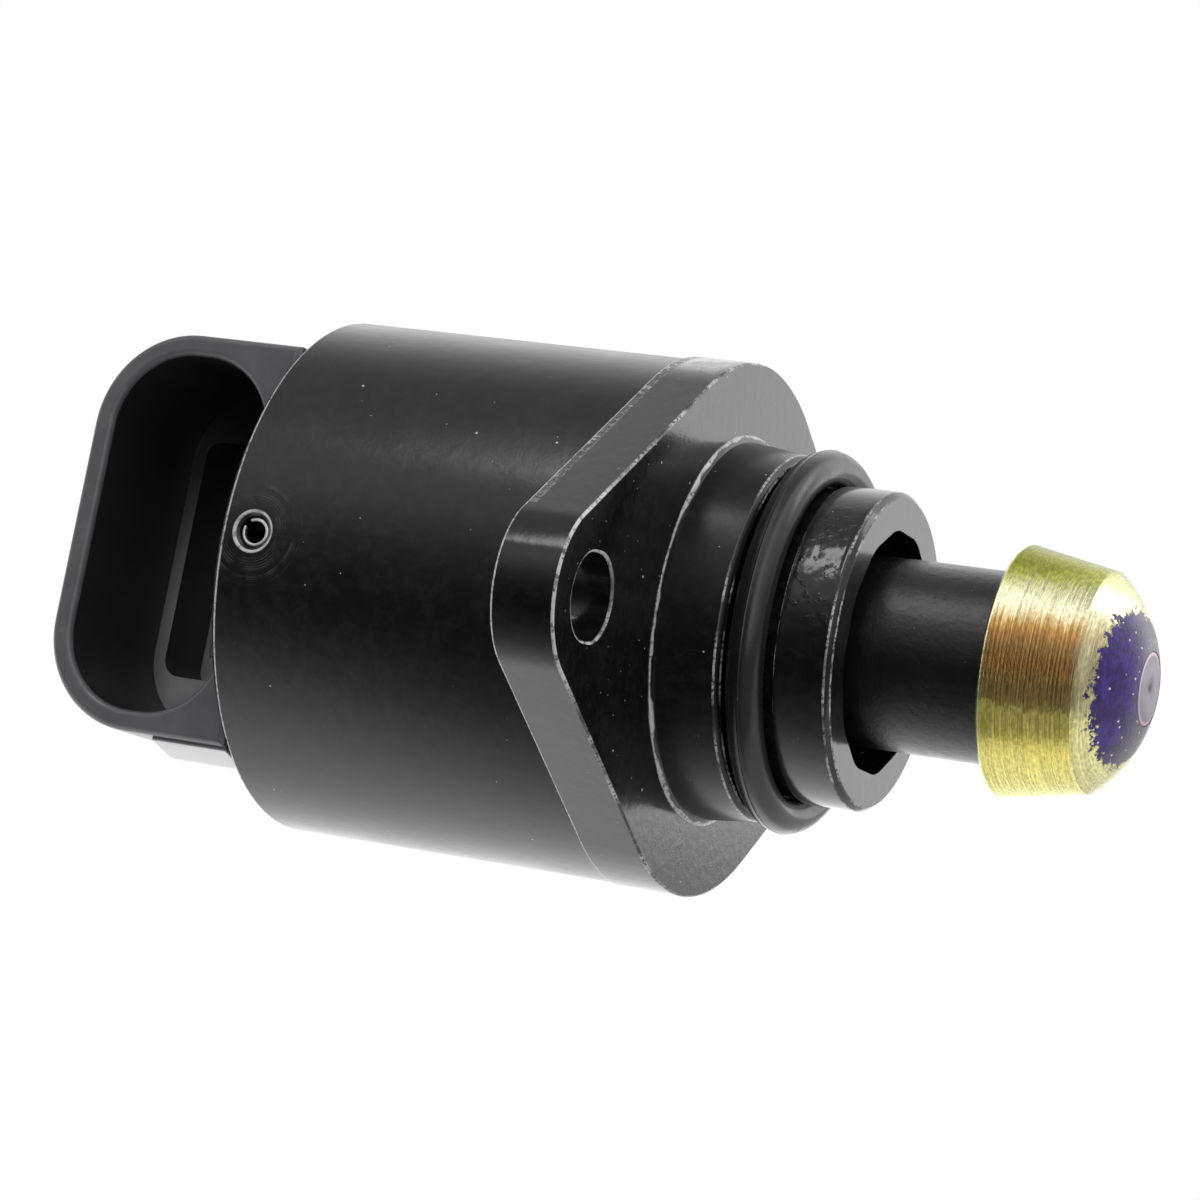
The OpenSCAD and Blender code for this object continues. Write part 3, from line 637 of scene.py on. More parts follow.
def turned_metal(name, tint, rough, lines=9.0, patina=0.75):
    """Metal turned or ground about the valve's axis."""
    f = Finish(name, rough=rough, metallic=1.0, base=tint)
    marks = f.noise(1.0, 4, at=f.stretched((lines, 0.25, 0.25)))
    f.colour(f.mix(f.ramp(f.noise(0.8, 4), 0.3, 0.75, 0, 1), tint, shade(tint, patina)))
    f.rough(f.ramp(marks, 0.3, 0.7, rough * 0.8, rough * 1.25))
    f.bump(marks, 0.006)
    return f.material


def spring_pin(tint, end):
    """Spring steel: bright at the pin's end, dark further in."""
    f = Finish("spring_steel", rough=0.45, metallic=1.0, base=tint)
    y = f.split()[1]
    open_end = f.ramp(f.math("ABSOLUTE", y), end - 0.5, end - 0.2, 0, 1)
    bright = f.ramp(f.noise(2.5, 4), 0.3, 0.7, 0.85, 1)
    f.colour(f.mix(f.times(open_end, bright), (0.01, 0.01, 0.01), tint))
    f.bump(f.noise(6.0, 3), 0.004)
    return f.material


def plated_sheet(name, tint, rough):
    """Formed sheet steel with a plated spangle."""
    f = Finish(name, rough=rough, metallic=1.0, base=tint)
    spangle = f.cells(1.4)[1]
    f.colour(f.mix(spangle, tint, shade(tint, 0.82)))
    f.rough(f.ramp(spangle, 0, 1, rough * 0.8, rough * 1.2))
    f.bump(f.noise(5.0, 4), 0.004)
    return f.material


def moulded(name, tint, rough=0.5):
    """Plain moulded plastic with a faint flow pattern."""
    f = Finish(name, rough=rough, base=tint)
    flow = f.ramp(f.noise(0.4, 5, 0.6), 0.35, 0.7, 0, 1)
    f.colour(f.mix(flow, tint, shade(tint, 0.8)))
    f.rough(f.ramp(flow, 0, 1, rough * 0.9, rough * 1.1))
    f.bump(f.noise(8.0, 3), 0.006)
    return f.material


def sintered(name, tint, rough, metallic):
    """Pressed and sintered powder, with fine pores."""
    f = Finish(name, rough=rough, metallic=metallic, base=tint)
    pores = f.specks(5.0, 0.2, 0.5)
    cloud = f.ramp(f.noise(1.5, 4), 0.3, 0.7, 0, 1)
    f.colour(f.mix(pores, f.mix(cloud, tint, shade(tint, 1.3)), shade(tint, 0.4)))
    f.bump(f.math("SUBTRACT", 1.0, pores), 0.02)
    return f.material


def enamelled_wire(tint):
    """Enamelled copper wire: each turn a little different."""
    f = Finish("enamelled_wire", rough=0.28, metallic=0.75, base=tint)
    f.shader.inputs["Coat Weight"].default_value = 0.6
    f.shader.inputs["Coat Roughness"].default_value = 0.15
    turns = f.noise(1.0, 2, at=f.stretched((4.0, 0.15, 0.15)))
    f.colour(f.mix(f.ramp(turns, 0.3, 0.7, 0, 1), tint, shade(tint, 0.7)))
    return f.material


def tinned(brass):
    """Tinned brass blade: tin on the faces, brass where it is worn."""
    f = Finish("tinned_brass", rough=0.3, metallic=1.0, base=brass)
    worn = f.ramp(f.noise(1.6, 5, 0.6), 0.45, 0.6, 0, 1)
    f.colour(f.mix(worn, (0.72, 0.71, 0.68), brass))
    f.rough(f.ramp(f.noise(4.0, 3), 0.3, 0.7, 0.24, 0.4))
    f.bump(f.noise(1.0, 3, at=f.stretched((3, 3, 12))), 0.006)
    return f.material


def yellow_zinc(tint, lacquer, rear_x):
    """Yellow passivated, turned steel with a ragged patch of lacquer on its dome."""
    f = Finish("yellow_zinc", rough=0.3, metallic=1.0, base=tint)
    x, y, z = f.split()
    lines = f.noise(1.0, 5, 0.65, at=f.stretched((9, 0.12, 0.12)))
    grit = f.noise(2.2, 5, 0.7)
    grain = f.noise(1.0, 3, 0.6, at=f.stretched((9, 2.5, 2.5)))
    # Hue drifts with the height, from z -8 at place 0 to z 8 at place 1: partly the passivate's own
    # tint, partly painted reflections, dark in the middle, with a pale painted highlight band near
    # place 0.8
    drift = f.math("ADD", z, f.ramp(lines, 0.3, 0.7, -0.5, 0.5))
    drift = f.math("ADD", drift, f.ramp(grit, 0.3, 0.7, -0.35, 0.35))
    tint_and_reflections = f.tones(f.ramp(drift, -8, 8, 0, 1), (
        (0.0, (0.62, 0.58, 0.20)), (0.12, (0.74, 0.68, 0.22)), (0.2, (0.76, 0.66, 0.18)),
        (0.24, (0.70, 0.62, 0.15)), (0.343, (0.82, 0.73, 0.2)), (0.354, (0.42, 0.34, 0.1)),
        (0.42, (0.42, 0.29, 0.1)), (0.5, (0.27, 0.14, 0.04)), (0.58, (0.27, 0.16, 0.055)),
        (0.62, (0.36, 0.18, 0.07)), (0.66, (0.46, 0.26, 0.07)), (0.69, (0.62, 0.48, 0.24)),
        (0.73, (0.78, 0.74, 0.5)), (0.8, (0.95, 0.95, 0.58)), (0.86, (0.68, 0.74, 0.18)),
        (0.9, (0.36, 0.38, 0.04)), (1.0, (0.2, 0.2, 0.01))))
    # Lacquer: inside a circle off the axis, with a ragged edge
    far = f.distance(f.math("ADD", y, 1.1), f.math("ADD", z, 0.2))
    ragged = f.math("ADD", far, f.ramp(f.noise(1.4, 6, 0.75), 0.3, 0.7, -0.7, 0.7))
    inside = f.times(f.ramp(ragged, 4.8, 4.9, 1, 0), f.ramp(x, 24.6, 24.9, 0, 1))
    mottled = f.mix(f.ramp(f.noise(1.1, 5, 0.7), 0.45, 0.6, 0, 1), lacquer, shade(lacquer, 2.2))
    # The lacquer turns from violet to a lilac grey across y
    violet_to_grey = f.mix(f.ramp(y, -3.4, -0.8, 0, 1), mottled, (0.13, 0.12, 0.15))
    pale = f.mix(f.ramp(x, 24.9, 25.6, 0, 0.55), tint_and_reflections, (0.8, 0.79, 0.5))
    # Turning lines and grain lighten and darken the metal; its rear edge carries a thin painted
    # highlight
    depth = f.times(f.ramp(lines, 0.3, 0.7, 0.68, 1.3), f.ramp(grain, 0.3, 0.7, 0.7, 1.3))
    grey = f.node("ShaderNodeCombineColor")
    for socket in grey.inputs[:3]:
        f.link(depth, socket)
    marked = f.mix(1.0, pale, grey.outputs[0], blend_type="MULTIPLY", clamp_result=True)
    rear_highlight = f.times(f.ramp(x, rear_x + 0.2, rear_x + 0.24, 1, 0),
                   f.ramp(f.noise(2.0, 3), 0.35, 0.5, 0.4, 1))
    metal = f.mix(rear_highlight, marked, (0.9, 0.87, 0.5))
    # Painted glints: small pale specks on the lacquer
    painted_glints = f.specks(2.0, 0.2, 0.3)
    f.colour(f.mix(inside, metal, f.mix(painted_glints, violet_to_grey, (0.75, 0.72, 0.75))))
    f.rough(f.math("ADD", f.ramp(lines, 0.3, 0.7, 0.18, 0.36), f.times(inside, 0.06)))
    f.link(f.ramp(inside, 0, 1, 1, 0.2), f.shader.inputs["Metallic"])
    f.bump(lines, 0.02)
    f.bump(grain, 0.025)
    f.bump(f.math("ADD", inside, f.times(inside, f.noise(2.5, 3))), 0.03)
    return f.material


def stem_steel(tint):
    """The stem's riveted end: flat, with a lilac bloom over the steel."""
    f = Finish("screw_steel", rough=0.32, metallic=1.0, base=tint)
    x, y, z = f.split()
    lilac = f.mix(f.ramp(f.noise(1.2, 4), 0.3, 0.7, 0, 0.5), (0.2, 0.175, 0.21), (0.16, 0.13, 0.19))
    rim = f.between(f.distance(y, z), 2.12, 2.4, 0.06)
    bloom = f.ramp(x, 27.4, 27.9, 0, 1)
    f.colour(f.mix(bloom, tint, f.mix(rim, lilac, (0.5, 0.36, 0.42))))
    marks = f.noise(1.0, 4, at=f.stretched((9, 0.25, 0.25)))
    f.rough(f.ramp(marks, 0.3, 0.7, 0.28, 0.42))
    f.bump(marks, 0.005)
    return f.material


# Pieces


class ValveOperator(Operator):
    bl_options = {"REGISTER", "UNDO"}

    @property
    def housing(self):
        return bpy.context.scene.valve_housing

    @property
    def cap(self):
        return bpy.context.scene.valve_cap

    @property
    def plunger(self):
        return bpy.context.scene.valve_plunger

    @property
    def looks(self):
        return bpy.context.scene.valve_finishes


def stadium(name, y, x_from, depth, width, total):
    """A bolt slot's cutter: two rods and their hull along X."""
    shift = (total - width) / 2
    middle = x_from + depth / 2
    parts = [rod(name, (middle, y + side * shift, 0), width / 2, depth, AXIS_TURN, 48)
             for side in (-1, 1)]
    obj = join(name, *parts)
    edit(obj)
    bpy.ops.mesh.convex_hull()
    return done()


class VALVE_OT_housing(ValveOperator):
    """Models the housing: barrel, diamond flange, spigot, seal groove and nose with its guide bore."""
    bl_idname = "valve.housing"
    bl_label = "Housing"

    def execute(self, context):
        s = self.housing
        rim, back = -s.barrel_len, -s.front_wall
        guide = back + s.bearing_w
        groove_end = s.spigot_len + s.groove_len
        bore_r = s.guide_af / 2 - 0.3 * MM
        steps = [math.radians(a) for a in range(90, -1, -15)]
        foot = [(s.fillet * (1 - math.sin(a)), s.spigot_r + s.fillet * (1 - math.cos(a)))
                for a in steps]
        profile = [
            (rim, s.cavity_r + s.edge), (rim, s.barrel_r - s.edge), (rim + s.edge, s.barrel_r),
            (-s.flange_t / 2, s.barrel_r), (-s.flange_t / 2, s.spigot_r + 2 * s.fillet),
            (0, s.spigot_r + 2 * s.fillet), *foot[::-1],
            (s.spigot_len - s.edge, s.spigot_r), (s.spigot_len, s.spigot_r - s.edge),
            (s.spigot_len, s.groove_r), (groove_end, s.groove_r), (groove_end, s.nose_r),
            (s.nose_end - s.edge, s.nose_r), (s.nose_end, s.nose_r - s.edge),
            (s.nose_end, bore_r), (guide, bore_r), (guide, s.bearing_r), (back, s.bearing_r),
            (back, s.cavity_r), (rim + s.edge, s.cavity_r), (rim, s.cavity_r + s.edge),
        ]
        coat, worn = self.looks.coat, self.looks.worn
        pin = (s.roll_x / MM, s.barrel_r * math.sin(self.cap.turn) / MM)
        # The third coat is a copy that reflects less: painted shade on the spigot and the seal groove
        self.materials = (black_coat("black_coat", coat, worn, 0.14, 0.5, pin),
                          edge_wear_and_highlight(coat, worn),
                          black_coat("spigot_shaded_coat", coat, worn, 0.26, 0.3, pin))
        obj = dress(turned("housing", profile, sides=180, closed=True), self.materials)
        round_edges(obj, s.edge_round / 2, 2, 32, material=1)
        # Painted shade: the spigot's and the groove's faces take the coat that reflects less
        for face in obj.data.polygons:
            if s.fillet < face.center.x < groove_end - 0.01 * MM and face.material_index == 0:
                face.material_index = 2
        combine(obj, self.flange(s), "UNION")
        self.guide_bore(obj, guide)
        for side in (-1, 1):
            self.pin_hole(obj, side)
        smooth(tidy_faces(obj, 0.1))
        finish_piece(obj, "valve_body", "black_coat", ["housing"])
        return {"FINISHED"}

    def guide_bore(self, obj, back):
        """Cuts the twelve-sided guide, its corners rounded as the drawn tool leaves them."""
        s = self.housing
        flats = 12
        over = 2 * MM
        radius = s.guide_af / 2 / math.cos(math.pi / flats)
        cutter = rod("guide", ((back + s.nose_end) / 2, 0, 0), radius,
                     s.nose_end - back + 2 * over, AXIS_TURN, flats)
        cutter.rotation_euler = (s.guide_turn, 0, 0)
        place_in_mesh(cutter)
        round_edges(cutter, s.guide_corner, 5, 20)
        combine(obj, dress(cutter, self.materials), "DIFFERENCE")

    def flange(self, s):
        """The flange plate: the hull of a round middle and two round ends, with its bolt slots."""
        reach = s.flange_reach - s.flange_end_r
        parts = [rod("flange", (-s.flange_t / 2, y, 0), r, s.flange_t, AXIS_TURN, sides)
                 for y, r, sides in ((0, s.flange_mid_r, 160), (-reach, s.flange_end_r, 72),
                                     (reach, s.flange_end_r, 72))]
        obj = join("flange", *parts)
        edit(obj)
        bpy.ops.mesh.convex_hull()
        done()
        tidy_faces(obj)
        for side in (-1, 1):
            combine(obj, stadium("slot", side * reach, -1.5 * s.flange_t, 2 * s.flange_t,
                                 s.slot_w, s.slot_len), "DIFFERENCE")
        inside = rod("room", (-s.flange_t / 2, 0, 0), s.spigot_r - 1 * MM, 2 * s.flange_t,
                     AXIS_TURN, 96)
        tidy_faces(obj)
        dress(obj, self.materials)
        round_edges(obj, s.edge_round, 3, 40, material=1)
        return combine(obj, dress(inside, self.materials), "DIFFERENCE")

    def pin_hole(self, obj, side):
        """A roll pin's hole through the wall, with its mouth opened out."""
        s, c = self.housing, self.cap
        hole_r = c.roll_r + 0.03 * MM
        lie = (-side * math.pi / 2 - c.turn, 0, 0)

        def at(r):
            return (s.roll_x, side * r * math.cos(c.turn), -side * r * math.sin(c.turn))

        hole = rod("hole", at(s.barrel_r), hole_r, 6 * MM, lie, 48)
        combine(obj, dress(hole, self.materials), "DIFFERENCE")
        over = 0.3 * MM
        start()
        bpy.ops.mesh.primitive_cone_add(
            vertices=48, radius1=hole_r, radius2=hole_r + s.hole_flare + over,
            depth=s.hole_flare + over, location=at(s.barrel_r + (over - s.hole_flare) / 2),
            rotation=lie)
        mouth = bpy.context.object
        place_in_mesh(mouth)
        combine(obj, dress(mouth, self.materials), "DIFFERENCE")


class VALVE_OT_nose_seal(ValveOperator):
    """Models the O-ring on the nose, with the fine parting ridge that its mould leaves."""
    bl_idname = "valve.nose_seal"
    bl_label = "Nose seal"

    def execute(self, context):
        low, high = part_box("nose_seal")
        thick = high.x - low.x
        middle_r = high.z - thick / 2
        centre_x = (low.x + high.x) / 2
        count = 30
        ridge = 0.035 * MM
        angles = [2 * math.pi * (i + 0.5) / count for i in range(count)]
        angles += [math.pi - 0.05, math.pi, math.pi + 0.05]
        profile = []
        for a in sorted(angles):
            r = thick / 2 + (ridge if a == math.pi else 0) - ridge
            profile.append((centre_x + r * math.sin(a), middle_r - r * math.cos(a)))
        profile.append(profile[0])
        obj = turned("nose_seal", profile, sides=160, closed=True)
        smooth(obj, 60)
        finish_piece(obj, "valve_body", "seal_rubber", ["nose_seal"], rubber(self.looks.rubber))
        return {"FINISHED"}


class VALVE_OT_connector_cap(ValveOperator):
    """Rounds the moulded cap's edges: shroud, socket, stepped well, heel and latch ramp."""
    bl_idname = "valve.connector_cap"
    bl_label = "Connector cap"

    def execute(self, context):
        s = self.cap
        turn = self.turn()
        obj = copy_of("connector_cap", "connector_cap_moulding")
        bevel_edges(obj, lambda *ends: all(abs((turn @ end).y + s.mouth_out) < 0.02 * MM
                                           for end in ends), s.mouth_round, 4)
        round_edges(obj, s.edge_round, 3, 50)
        looks = self.looks
        # The cap's plastic, a darker copy for inside the socket (painted shade) and a lighter one for
        # its ledge (painted light)
        dress(obj, (cap_plastic("cap_plastic", looks.plastic, s.turn),
                    cap_plastic("socket_painted_shade", looks.socket, s.turn),
                    cap_plastic("ledge_painted_light", looks.ledge, s.turn, looks.socket)))
        self.socket_faces(obj)
        smooth(obj, 40)
        finish_piece(obj, "valve_body", "cap_plastic", ["connector_cap"])
        return {"FINISHED"}

    def turn(self):
        """Turns a place or a normal so that the socket opens straight along -Y."""
        return Matrix.Rotation(self.cap.turn, 3, "X")

    def socket_faces(self, obj):
        """Gives the faces inside the socket a darker copy of the cap's plastic, painted shade, and the
        ledge a lighter copy, painted light.
        """
        s = self.cap
        turn = self.turn()
        rim = -self.housing.barrel_len
        mouth = -s.mouth_out + 1.01 * s.mouth_round
        for face in obj.data.polygons:
            x, y, z = turn @ face.center
            inside = (rim - s.shroud_w + s.wall < x < rim - s.wall
                      and abs(z) < s.shroud_h / 2 - s.wall)
            on_ledge = (turn @ face.normal).y < -0.9
            if inside and mouth < y < 6 * MM:
                face.material_index = 2 if on_ledge else 1


class VALVE_OT_roll_pins(ValveOperator):
    """Rounds the lips of the split spring pins."""
    bl_idname = "valve.roll_pins"
    bl_label = "Roll pins"

    def execute(self, context):
        obj = copy_of("roll_pins", "split_pins")
        round_edges(obj, 0.06 * MM, 2, 40)
        smooth(obj, 40)
        finish_piece(obj, "valve_body", "spring_steel", ["roll_pins"],
                     spring_pin(self.looks.steel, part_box("roll_pins")[1].y / MM))
        return {"FINISHED"}


class VALVE_OT_terminals(ValveOperator):
    """Rounds the edges of the terminals' blades."""
    bl_idname = "valve.terminals"
    bl_label = "Terminals"

    def execute(self, context):
        blade = tinned(self.looks.brass)
        for number in range(1, 5):
            node = f"terminal_{number}"
            obj = copy_of(node, f"blade_{number}")
            round_edges(obj, 0.15 * MM, 3, 40)
            smooth(obj, 40)
            finish_piece(obj, "valve_body", "tinned_brass", [node], blade)
        return {"FINISHED"}


class VALVE_OT_plunger_sleeve(ValveOperator):
    """Rounds the plunger's sleeve: its ends, and the corners of its twelve-sided head."""
    bl_idname = "valve.plunger_sleeve"
    bl_label = "Plunger sleeve"

    def execute(self, context):
        obj = copy_of("plunger_sleeve", "sleeve")
        neck = self.plunger.sleeve_r + 1 * MM
        corner_round = self.housing.guide_corner + 0.1 * MM
        bevel_edges(obj, lambda a, b: abs(a.x - b.x) > 1 * MM and math.hypot(a.y, a.z) > neck,
                    corner_round, 5)
        round_edges(obj, 0.12 * MM, 3, 25)
        smooth(obj, 25)
        finish_piece(obj, "plunger", "sleeve_black", ["plunger_sleeve"],
                     satin_sleeve(self.looks.sleeve))
        return {"FINISHED"}


class VALVE_OT_pintle(ValveOperator):
    """Models the pintle: a taper and a dome with the tool marks that turning leaves."""
    bl_idname = "valve.pintle"
    bl_label = "Pintle"

    def execute(self, context):
        s = self.plunger
        low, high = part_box("pintle")
        rear_r = high.z
        shoulder_x = low.x + s.taper_len
        bore_r = s.stem_r + 0.02 * MM
        lip = 0.15 * MM
        centre_x = (high.x ** 2 - shoulder_x ** 2 + s.stem_r ** 2 - s.shoulder_r ** 2) / (
            2 * (high.x - shoulder_x))
        dome_r = math.hypot(high.x - centre_x, s.stem_r)
        first = math.atan2(s.shoulder_r, shoulder_x - centre_x)
        last = math.atan2(s.stem_r, high.x - centre_x)
        profile = [(low.x, bore_r), (low.x, rear_r - lip), (low.x + lip, rear_r)]
        marks = s.lathe_marks
        for i in range(1, 2 * marks):
            t = (i + 0.35 * math.sin(5.1 * i)) / (2 * marks)
            depth = (0.002 + 0.014 * math.sin(2.3 * i) ** 4) * MM * (i % 2)
            if i > 2 * marks - 8:
                depth *= 2.5
            profile.append((low.x + lip + t * (shoulder_x - low.x - lip),
                            rear_r + t * (s.shoulder_r - rear_r) - depth))
        steps = 40
        for i in range(steps + 1):
            a = first + (last - first) * i / steps
            depth = 0.012 * MM * (i % 2)
            profile.append((centre_x + (dome_r - depth) * math.cos(a),
                            (dome_r - depth) * math.sin(a)))
        profile.append((profile[-1][0], bore_r))
        profile.append(profile[0])
        obj = turned("pintle_tip", profile, sides=192, closed=True)
        smooth(obj, 50)
        finish_piece(obj, "plunger", "yellow_zinc", ["pintle"],
                     yellow_zinc(self.looks.zinc, self.looks.lacquer, low.x / MM))
        return {"FINISHED"}


class VALVE_OT_lead_screw(ValveOperator):
    """Models the stem: a threaded screw behind, and a flat riveted end in front."""
    bl_idname = "valve.lead_screw"
    bl_label = "Lead screw"

    def execute(self, context):
        s = self.plunger
        low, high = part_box("lead_screw")
        head_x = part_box("plunger_sleeve")[0].x
        root_r = s.screw_r - 0.3 * MM
        run_in = 0.4 * MM
        profile = [(low.x, root_r), (low.x + run_in, root_r)]
        turns = int((head_x - low.x - 3 * run_in) / s.pitch)
        x = low.x + run_in
        for _ in range(turns):
            for along, r in ((0.25, root_r), (0.45, s.screw_r), (0.65, s.screw_r), (0.9, root_r)):
                profile.append((x + along * s.pitch, r))
            x += s.pitch
        dent = 0.25 * MM
        profile += [(head_x, root_r), (head_x, s.stem_r), (high.x - 0.12 * MM, s.stem_r),
                    (high.x - 0.03 * MM, s.stem_r - 0.05 * MM),
                    (high.x, s.stem_r - 0.16 * MM), (high.x, dent * 1.6),
                    (high.x - 0.06 * MM, dent), (high.x - 0.12 * MM, dent * 0.3)]
        obj = turned("stem", profile, sides=96)
        smooth(obj, 35)
        finish_piece(obj, "plunger", "screw_steel", ["lead_screw"],
                     stem_steel((0.5, 0.49, 0.48)))
        return {"FINISHED"}


class VALVE_OT_coils(ValveOperator):
    """Winds the two coils: side by side turns of enamelled wire."""
    bl_idname = "valve.coils"
    bl_label = "Coils"

    def execute(self, context):
        wire = enamelled_wire((0.55, 0.2, 0.08))
        for node in ("rear_coil", "front_coil"):
            low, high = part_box(node)
            outer_r = high.z
            inner_r = 8.5 * MM
            turns = 14
            wire_r = (high.x - low.x) / turns / 2
            profile = [(low.x, inner_r)]
            for i in range(turns):
                middle = low.x + (2 * i + 1) * wire_r
                for k in range(5):
                    a = math.pi * (k + 0.5) / 5
                    profile.append((middle - wire_r * math.cos(a),
                                    outer_r - wire_r + wire_r * math.sin(a)))
            profile += [(high.x, inner_r), (low.x, inner_r)]
            obj = turned(f"{node}_winding", profile, sides=96, closed=True)
            smooth(obj, 50)
            finish_piece(obj, "valve_body", "enamelled_wire", [node], wire)
        return {"FINISHED"}


class VALVE_OT_inner_parts(ValveOperator):
    """Finishes the pieces whose shape is kept: stator, bearing, rotor, washers and the cap's seal."""
    bl_idname = "valve.inner_parts"
    bl_label = "Inner parts"

    def execute(self, context):
        plate = plated_sheet("plated_plate", (0.5, 0.51, 0.52), 0.35)
        former = moulded("former_plastic", (0.2, 0.06, 0.04))
        race = turned_metal("race_steel", (0.62, 0.63, 0.64), 0.16)
        hub = moulded("hub_plastic", (0.62, 0.57, 0.44))
        washer = turned_metal("washer_steel", self.looks.steel, 0.3)
        looks = {
            "cap_seal": rubber(self.looks.rubber), "contact_posts": tinned(self.looks.brass),
            "rear_bush": sintered("bush_bronze", (0.5, 0.32, 0.13), 0.45, 0.9),
            "rear_stator_cup": plate, "front_stator_cup": plate, "rear_pole_plate": plate,
            "front_pole_plate": plate, "rear_coil_former": former, "front_coil_former": former,
            "bearing_outer_race": race, "bearing_inner_race": race,
            "bearing_cage": moulded("cage_plastic", (0.32, 0.19, 0.08)),
            "bearing_balls": turned_metal("ball_steel", (0.75, 0.75, 0.76), 0.08, 2.0, 0.95),
            "wave_washer": washer, "thrust_washer": hub, "rotor_hub": hub,
            "rotor_magnet": sintered("ferrite", (0.05, 0.052, 0.058), 0.5, 0.3),
            "rotor_nut": turned_metal("nut_brass", (0.66, 0.46, 0.16), 0.26),
        }
        for node, material in looks.items():
            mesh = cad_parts[node].data
            mesh.materials.clear()
            mesh.materials.append(material)
            smooth(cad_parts[node], 35, flat_faces=False)
        return {"FINISHED"}


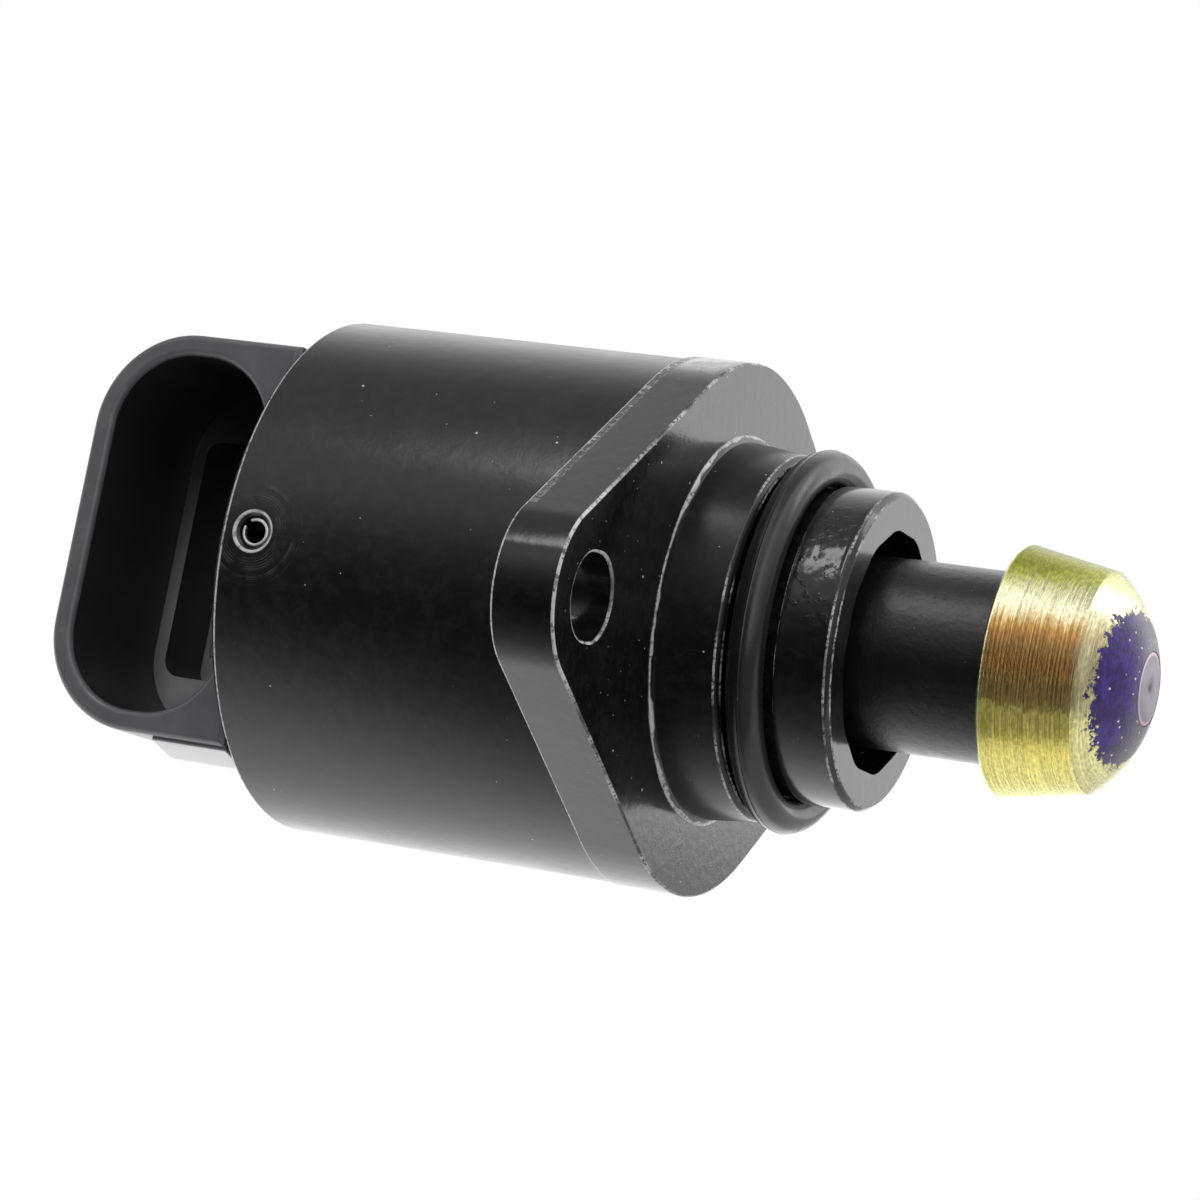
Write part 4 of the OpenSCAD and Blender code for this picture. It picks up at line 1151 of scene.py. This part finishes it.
class VALVE_OT_stage(ValveOperator):
    """Sets the camera, the pale floor, the soft lamps and the studio round the valve."""
    bl_idname = "valve.stage"
    bl_label = "Stage"

    def execute(self, context):
        stage = context.scene.valve_stage
        self.camera(stage)
        self.floor(stage)
        self.lamp("key", stage.key_place, (0.050, 0.11), stage.key_power)
        self.lamp("side", stage.side_place, (0.12, 0.12), stage.side_power)
        self.studio()
        context.scene.view_settings.view_transform = "Standard"
        return {"FINISHED"}

    def camera(self, stage):
        data = bpy.data.cameras.new("camera")
        data.lens = stage.lens
        data.sensor_width = 36
        data.sensor_fit = "HORIZONTAL"
        data.clip_start = 0.01
        data.clip_end = 20
        camera = bpy.data.objects.new("camera", data)
        bpy.context.scene.collection.objects.link(camera)
        camera.location = stage.camera_place
        camera.rotation_euler = stage.camera_turn
        bpy.context.scene.camera = camera

    def floor(self, stage):
        """A pale floor that glows: brighter away from the dark place where the camera stands, and
        white to the camera.
        """
        start()
        middle = stage.floor_size / 2 - stage.floor_front
        bpy.ops.mesh.primitive_plane_add(size=stage.floor_size,
                                         location=(0, middle, -stage.floor_drop))
        floor = bpy.context.object
        floor.name = "floor"
        material = bpy.data.materials.new("floor")
        g = Graph(material)
        g.tree.nodes.remove(g.tree.nodes["Principled BSDF"])
        here = g.node("ShaderNodeTexCoord").outputs["Object"]
        turned_mm = g.node("ShaderNodeMapping", Rotation=(0, 0, math.radians(-38.7)),
                           Scale=(1 / MM, 1 / MM, 1 / MM))
        g.link(here, turned_mm.inputs[0])
        # Brightness across the edge of the dark place, in mm from the edge
        edge, reach = -10.9, 80
        across = g.parts(turned_mm.outputs[0])[1]
        light = g.strength(across, edge - reach, edge + reach, [
            (edge + at, level) for at, level in (
                (-60, 0.05), (-30, 0.14), (-12, 0.32), (-3, 0.5), (4, 0.8), (12, 1.05),
                (20, 1.35), (32, 1.65))])
        # Beside the pintle the brightness follows y alone
        x, y, z = g.parts(here)
        by_tip = g.strength(y, -0.2, 0.1, [
            (-0.19, 0.2), (-0.085, 0.36), (-0.044, 0.3), (-0.032, 0.36), (-0.019, 1.05),
            (0.002, 1.0), (0.023, 0.85), (0.06, 0.8)])
        light = g.blend(g.ramp(x, 0.004, 0.014, 0, 1), light, by_tip)
        glow = g.node("ShaderNodeEmission")
        g.link(g.white_for_camera(light), glow.inputs["Strength"])
        g.link(glow.outputs[0], g.tree.nodes["Material Output"].inputs[0])
        floor.data.materials.append(material)
        place_in_mesh(floor)

    def lamp(self, name, place, size, power):
        data = bpy.data.lights.new(name, "AREA")
        data.shape = "RECTANGLE"
        data.size, data.size_y = size
        data.energy = power
        lamp = bpy.data.objects.new(name, data)
        bpy.context.scene.collection.objects.link(lamp)
        lamp.location = place
        away = -lamp.location
        lamp.rotation_euler = away.to_track_quat("-Z", "Y").to_euler()

    def studio(self):
        """The surround: brightness by the angle about the valve's axis, 0 in front, 90 above."""
        world = bpy.data.worlds.new("studio")
        bpy.context.scene.world = world
        g = Graph(world)
        x, y, z = g.parts(g.node("ShaderNodeTexCoord").outputs["Generated"])
        angle = g.math("ARCTAN2", z, g.times(y, -1))
        light = g.strength(angle, -math.pi, math.pi, [(math.radians(at), level) for at, level in (
            (-180, 1.1), (-90, 1.6), (-60, 0.4), (-30, 0.08), (-5, 0.08), (7, 0.16), (19, 0.36),
            (31, 0.77), (44, 0.98), (56, 0.72), (69, 0.6), (84, 0.55), (105, 0.46), (118, 0.68),
            (130, 1.02), (142, 1.38), (154, 1.42), (166, 1.0), (180, 1.1))])
        # Beyond the pintle the brightness follows x, and is full high up and low down
        by_side = g.strength(x, 0, 1, [(0.3, 1.9), (0.45, 1.9), (0.62, 1.2), (0.79, 0.9),
                                       (0.9, 0.8), (0.94, 0.5), (1.0, 0.4)])
        off_axis = g.ramp(g.math("ABSOLUTE", z), 0.3, 0.42, 0, 1)
        light = g.blend(g.ramp(x, 0.2, 0.32, 0, 1), light, g.most(by_side, off_axis))
        background = g.tree.nodes["Background"].inputs
        background["Color"].default_value = (1, 1, 1, 1)
        g.link(g.white_for_camera(light), background["Strength"])


class VALVE_PT_panel(Panel):
    """Lists the valve's operators."""
    bl_idname = "VALVE_PT_panel"
    bl_label = "Idle air control valve"
    bl_space_type = "VIEW_3D"
    bl_region_type = "UI"
    bl_category = "Valve"

    def draw(self, context):
        for operator in OPERATORS:
            self.layout.operator(operator.bl_idname)


GROUPS = {
    "valve_housing": HousingSizes,
    "valve_cap": CapSizes,
    "valve_plunger": PlungerSizes,
    "valve_finishes": Finishes,
    "valve_stage": StageSettings,
}
OPERATORS = (
    VALVE_OT_stage, VALVE_OT_housing, VALVE_OT_nose_seal, VALVE_OT_connector_cap,
    VALVE_OT_roll_pins, VALVE_OT_terminals, VALVE_OT_plunger_sleeve, VALVE_OT_pintle,
    VALVE_OT_lead_screw, VALVE_OT_coils, VALVE_OT_inner_parts,
)


def register():
    for name, group in GROUPS.items():
        bpy.utils.register_class(group)
        setattr(bpy.types.Scene, name, PointerProperty(type=group))
    for operator in OPERATORS:
        bpy.utils.register_class(operator)
    bpy.utils.register_class(VALVE_PT_panel)


def unregister():
    bpy.utils.unregister_class(VALVE_PT_panel)
    for operator in reversed(OPERATORS):
        bpy.utils.unregister_class(operator)
    for name, group in reversed(GROUPS.items()):
        delattr(bpy.types.Scene, name)
        bpy.utils.unregister_class(group)


def main():
    register()
    bpy.ops.valve.stage()
    bpy.ops.valve.housing()
    bpy.ops.valve.nose_seal()
    bpy.ops.valve.connector_cap()
    bpy.ops.valve.roll_pins()
    bpy.ops.valve.terminals()
    bpy.ops.valve.plunger_sleeve()
    bpy.ops.valve.pintle()
    bpy.ops.valve.lead_screw()
    bpy.ops.valve.coils()
    bpy.ops.valve.inner_parts()


if __name__ == "__main__":
    main()
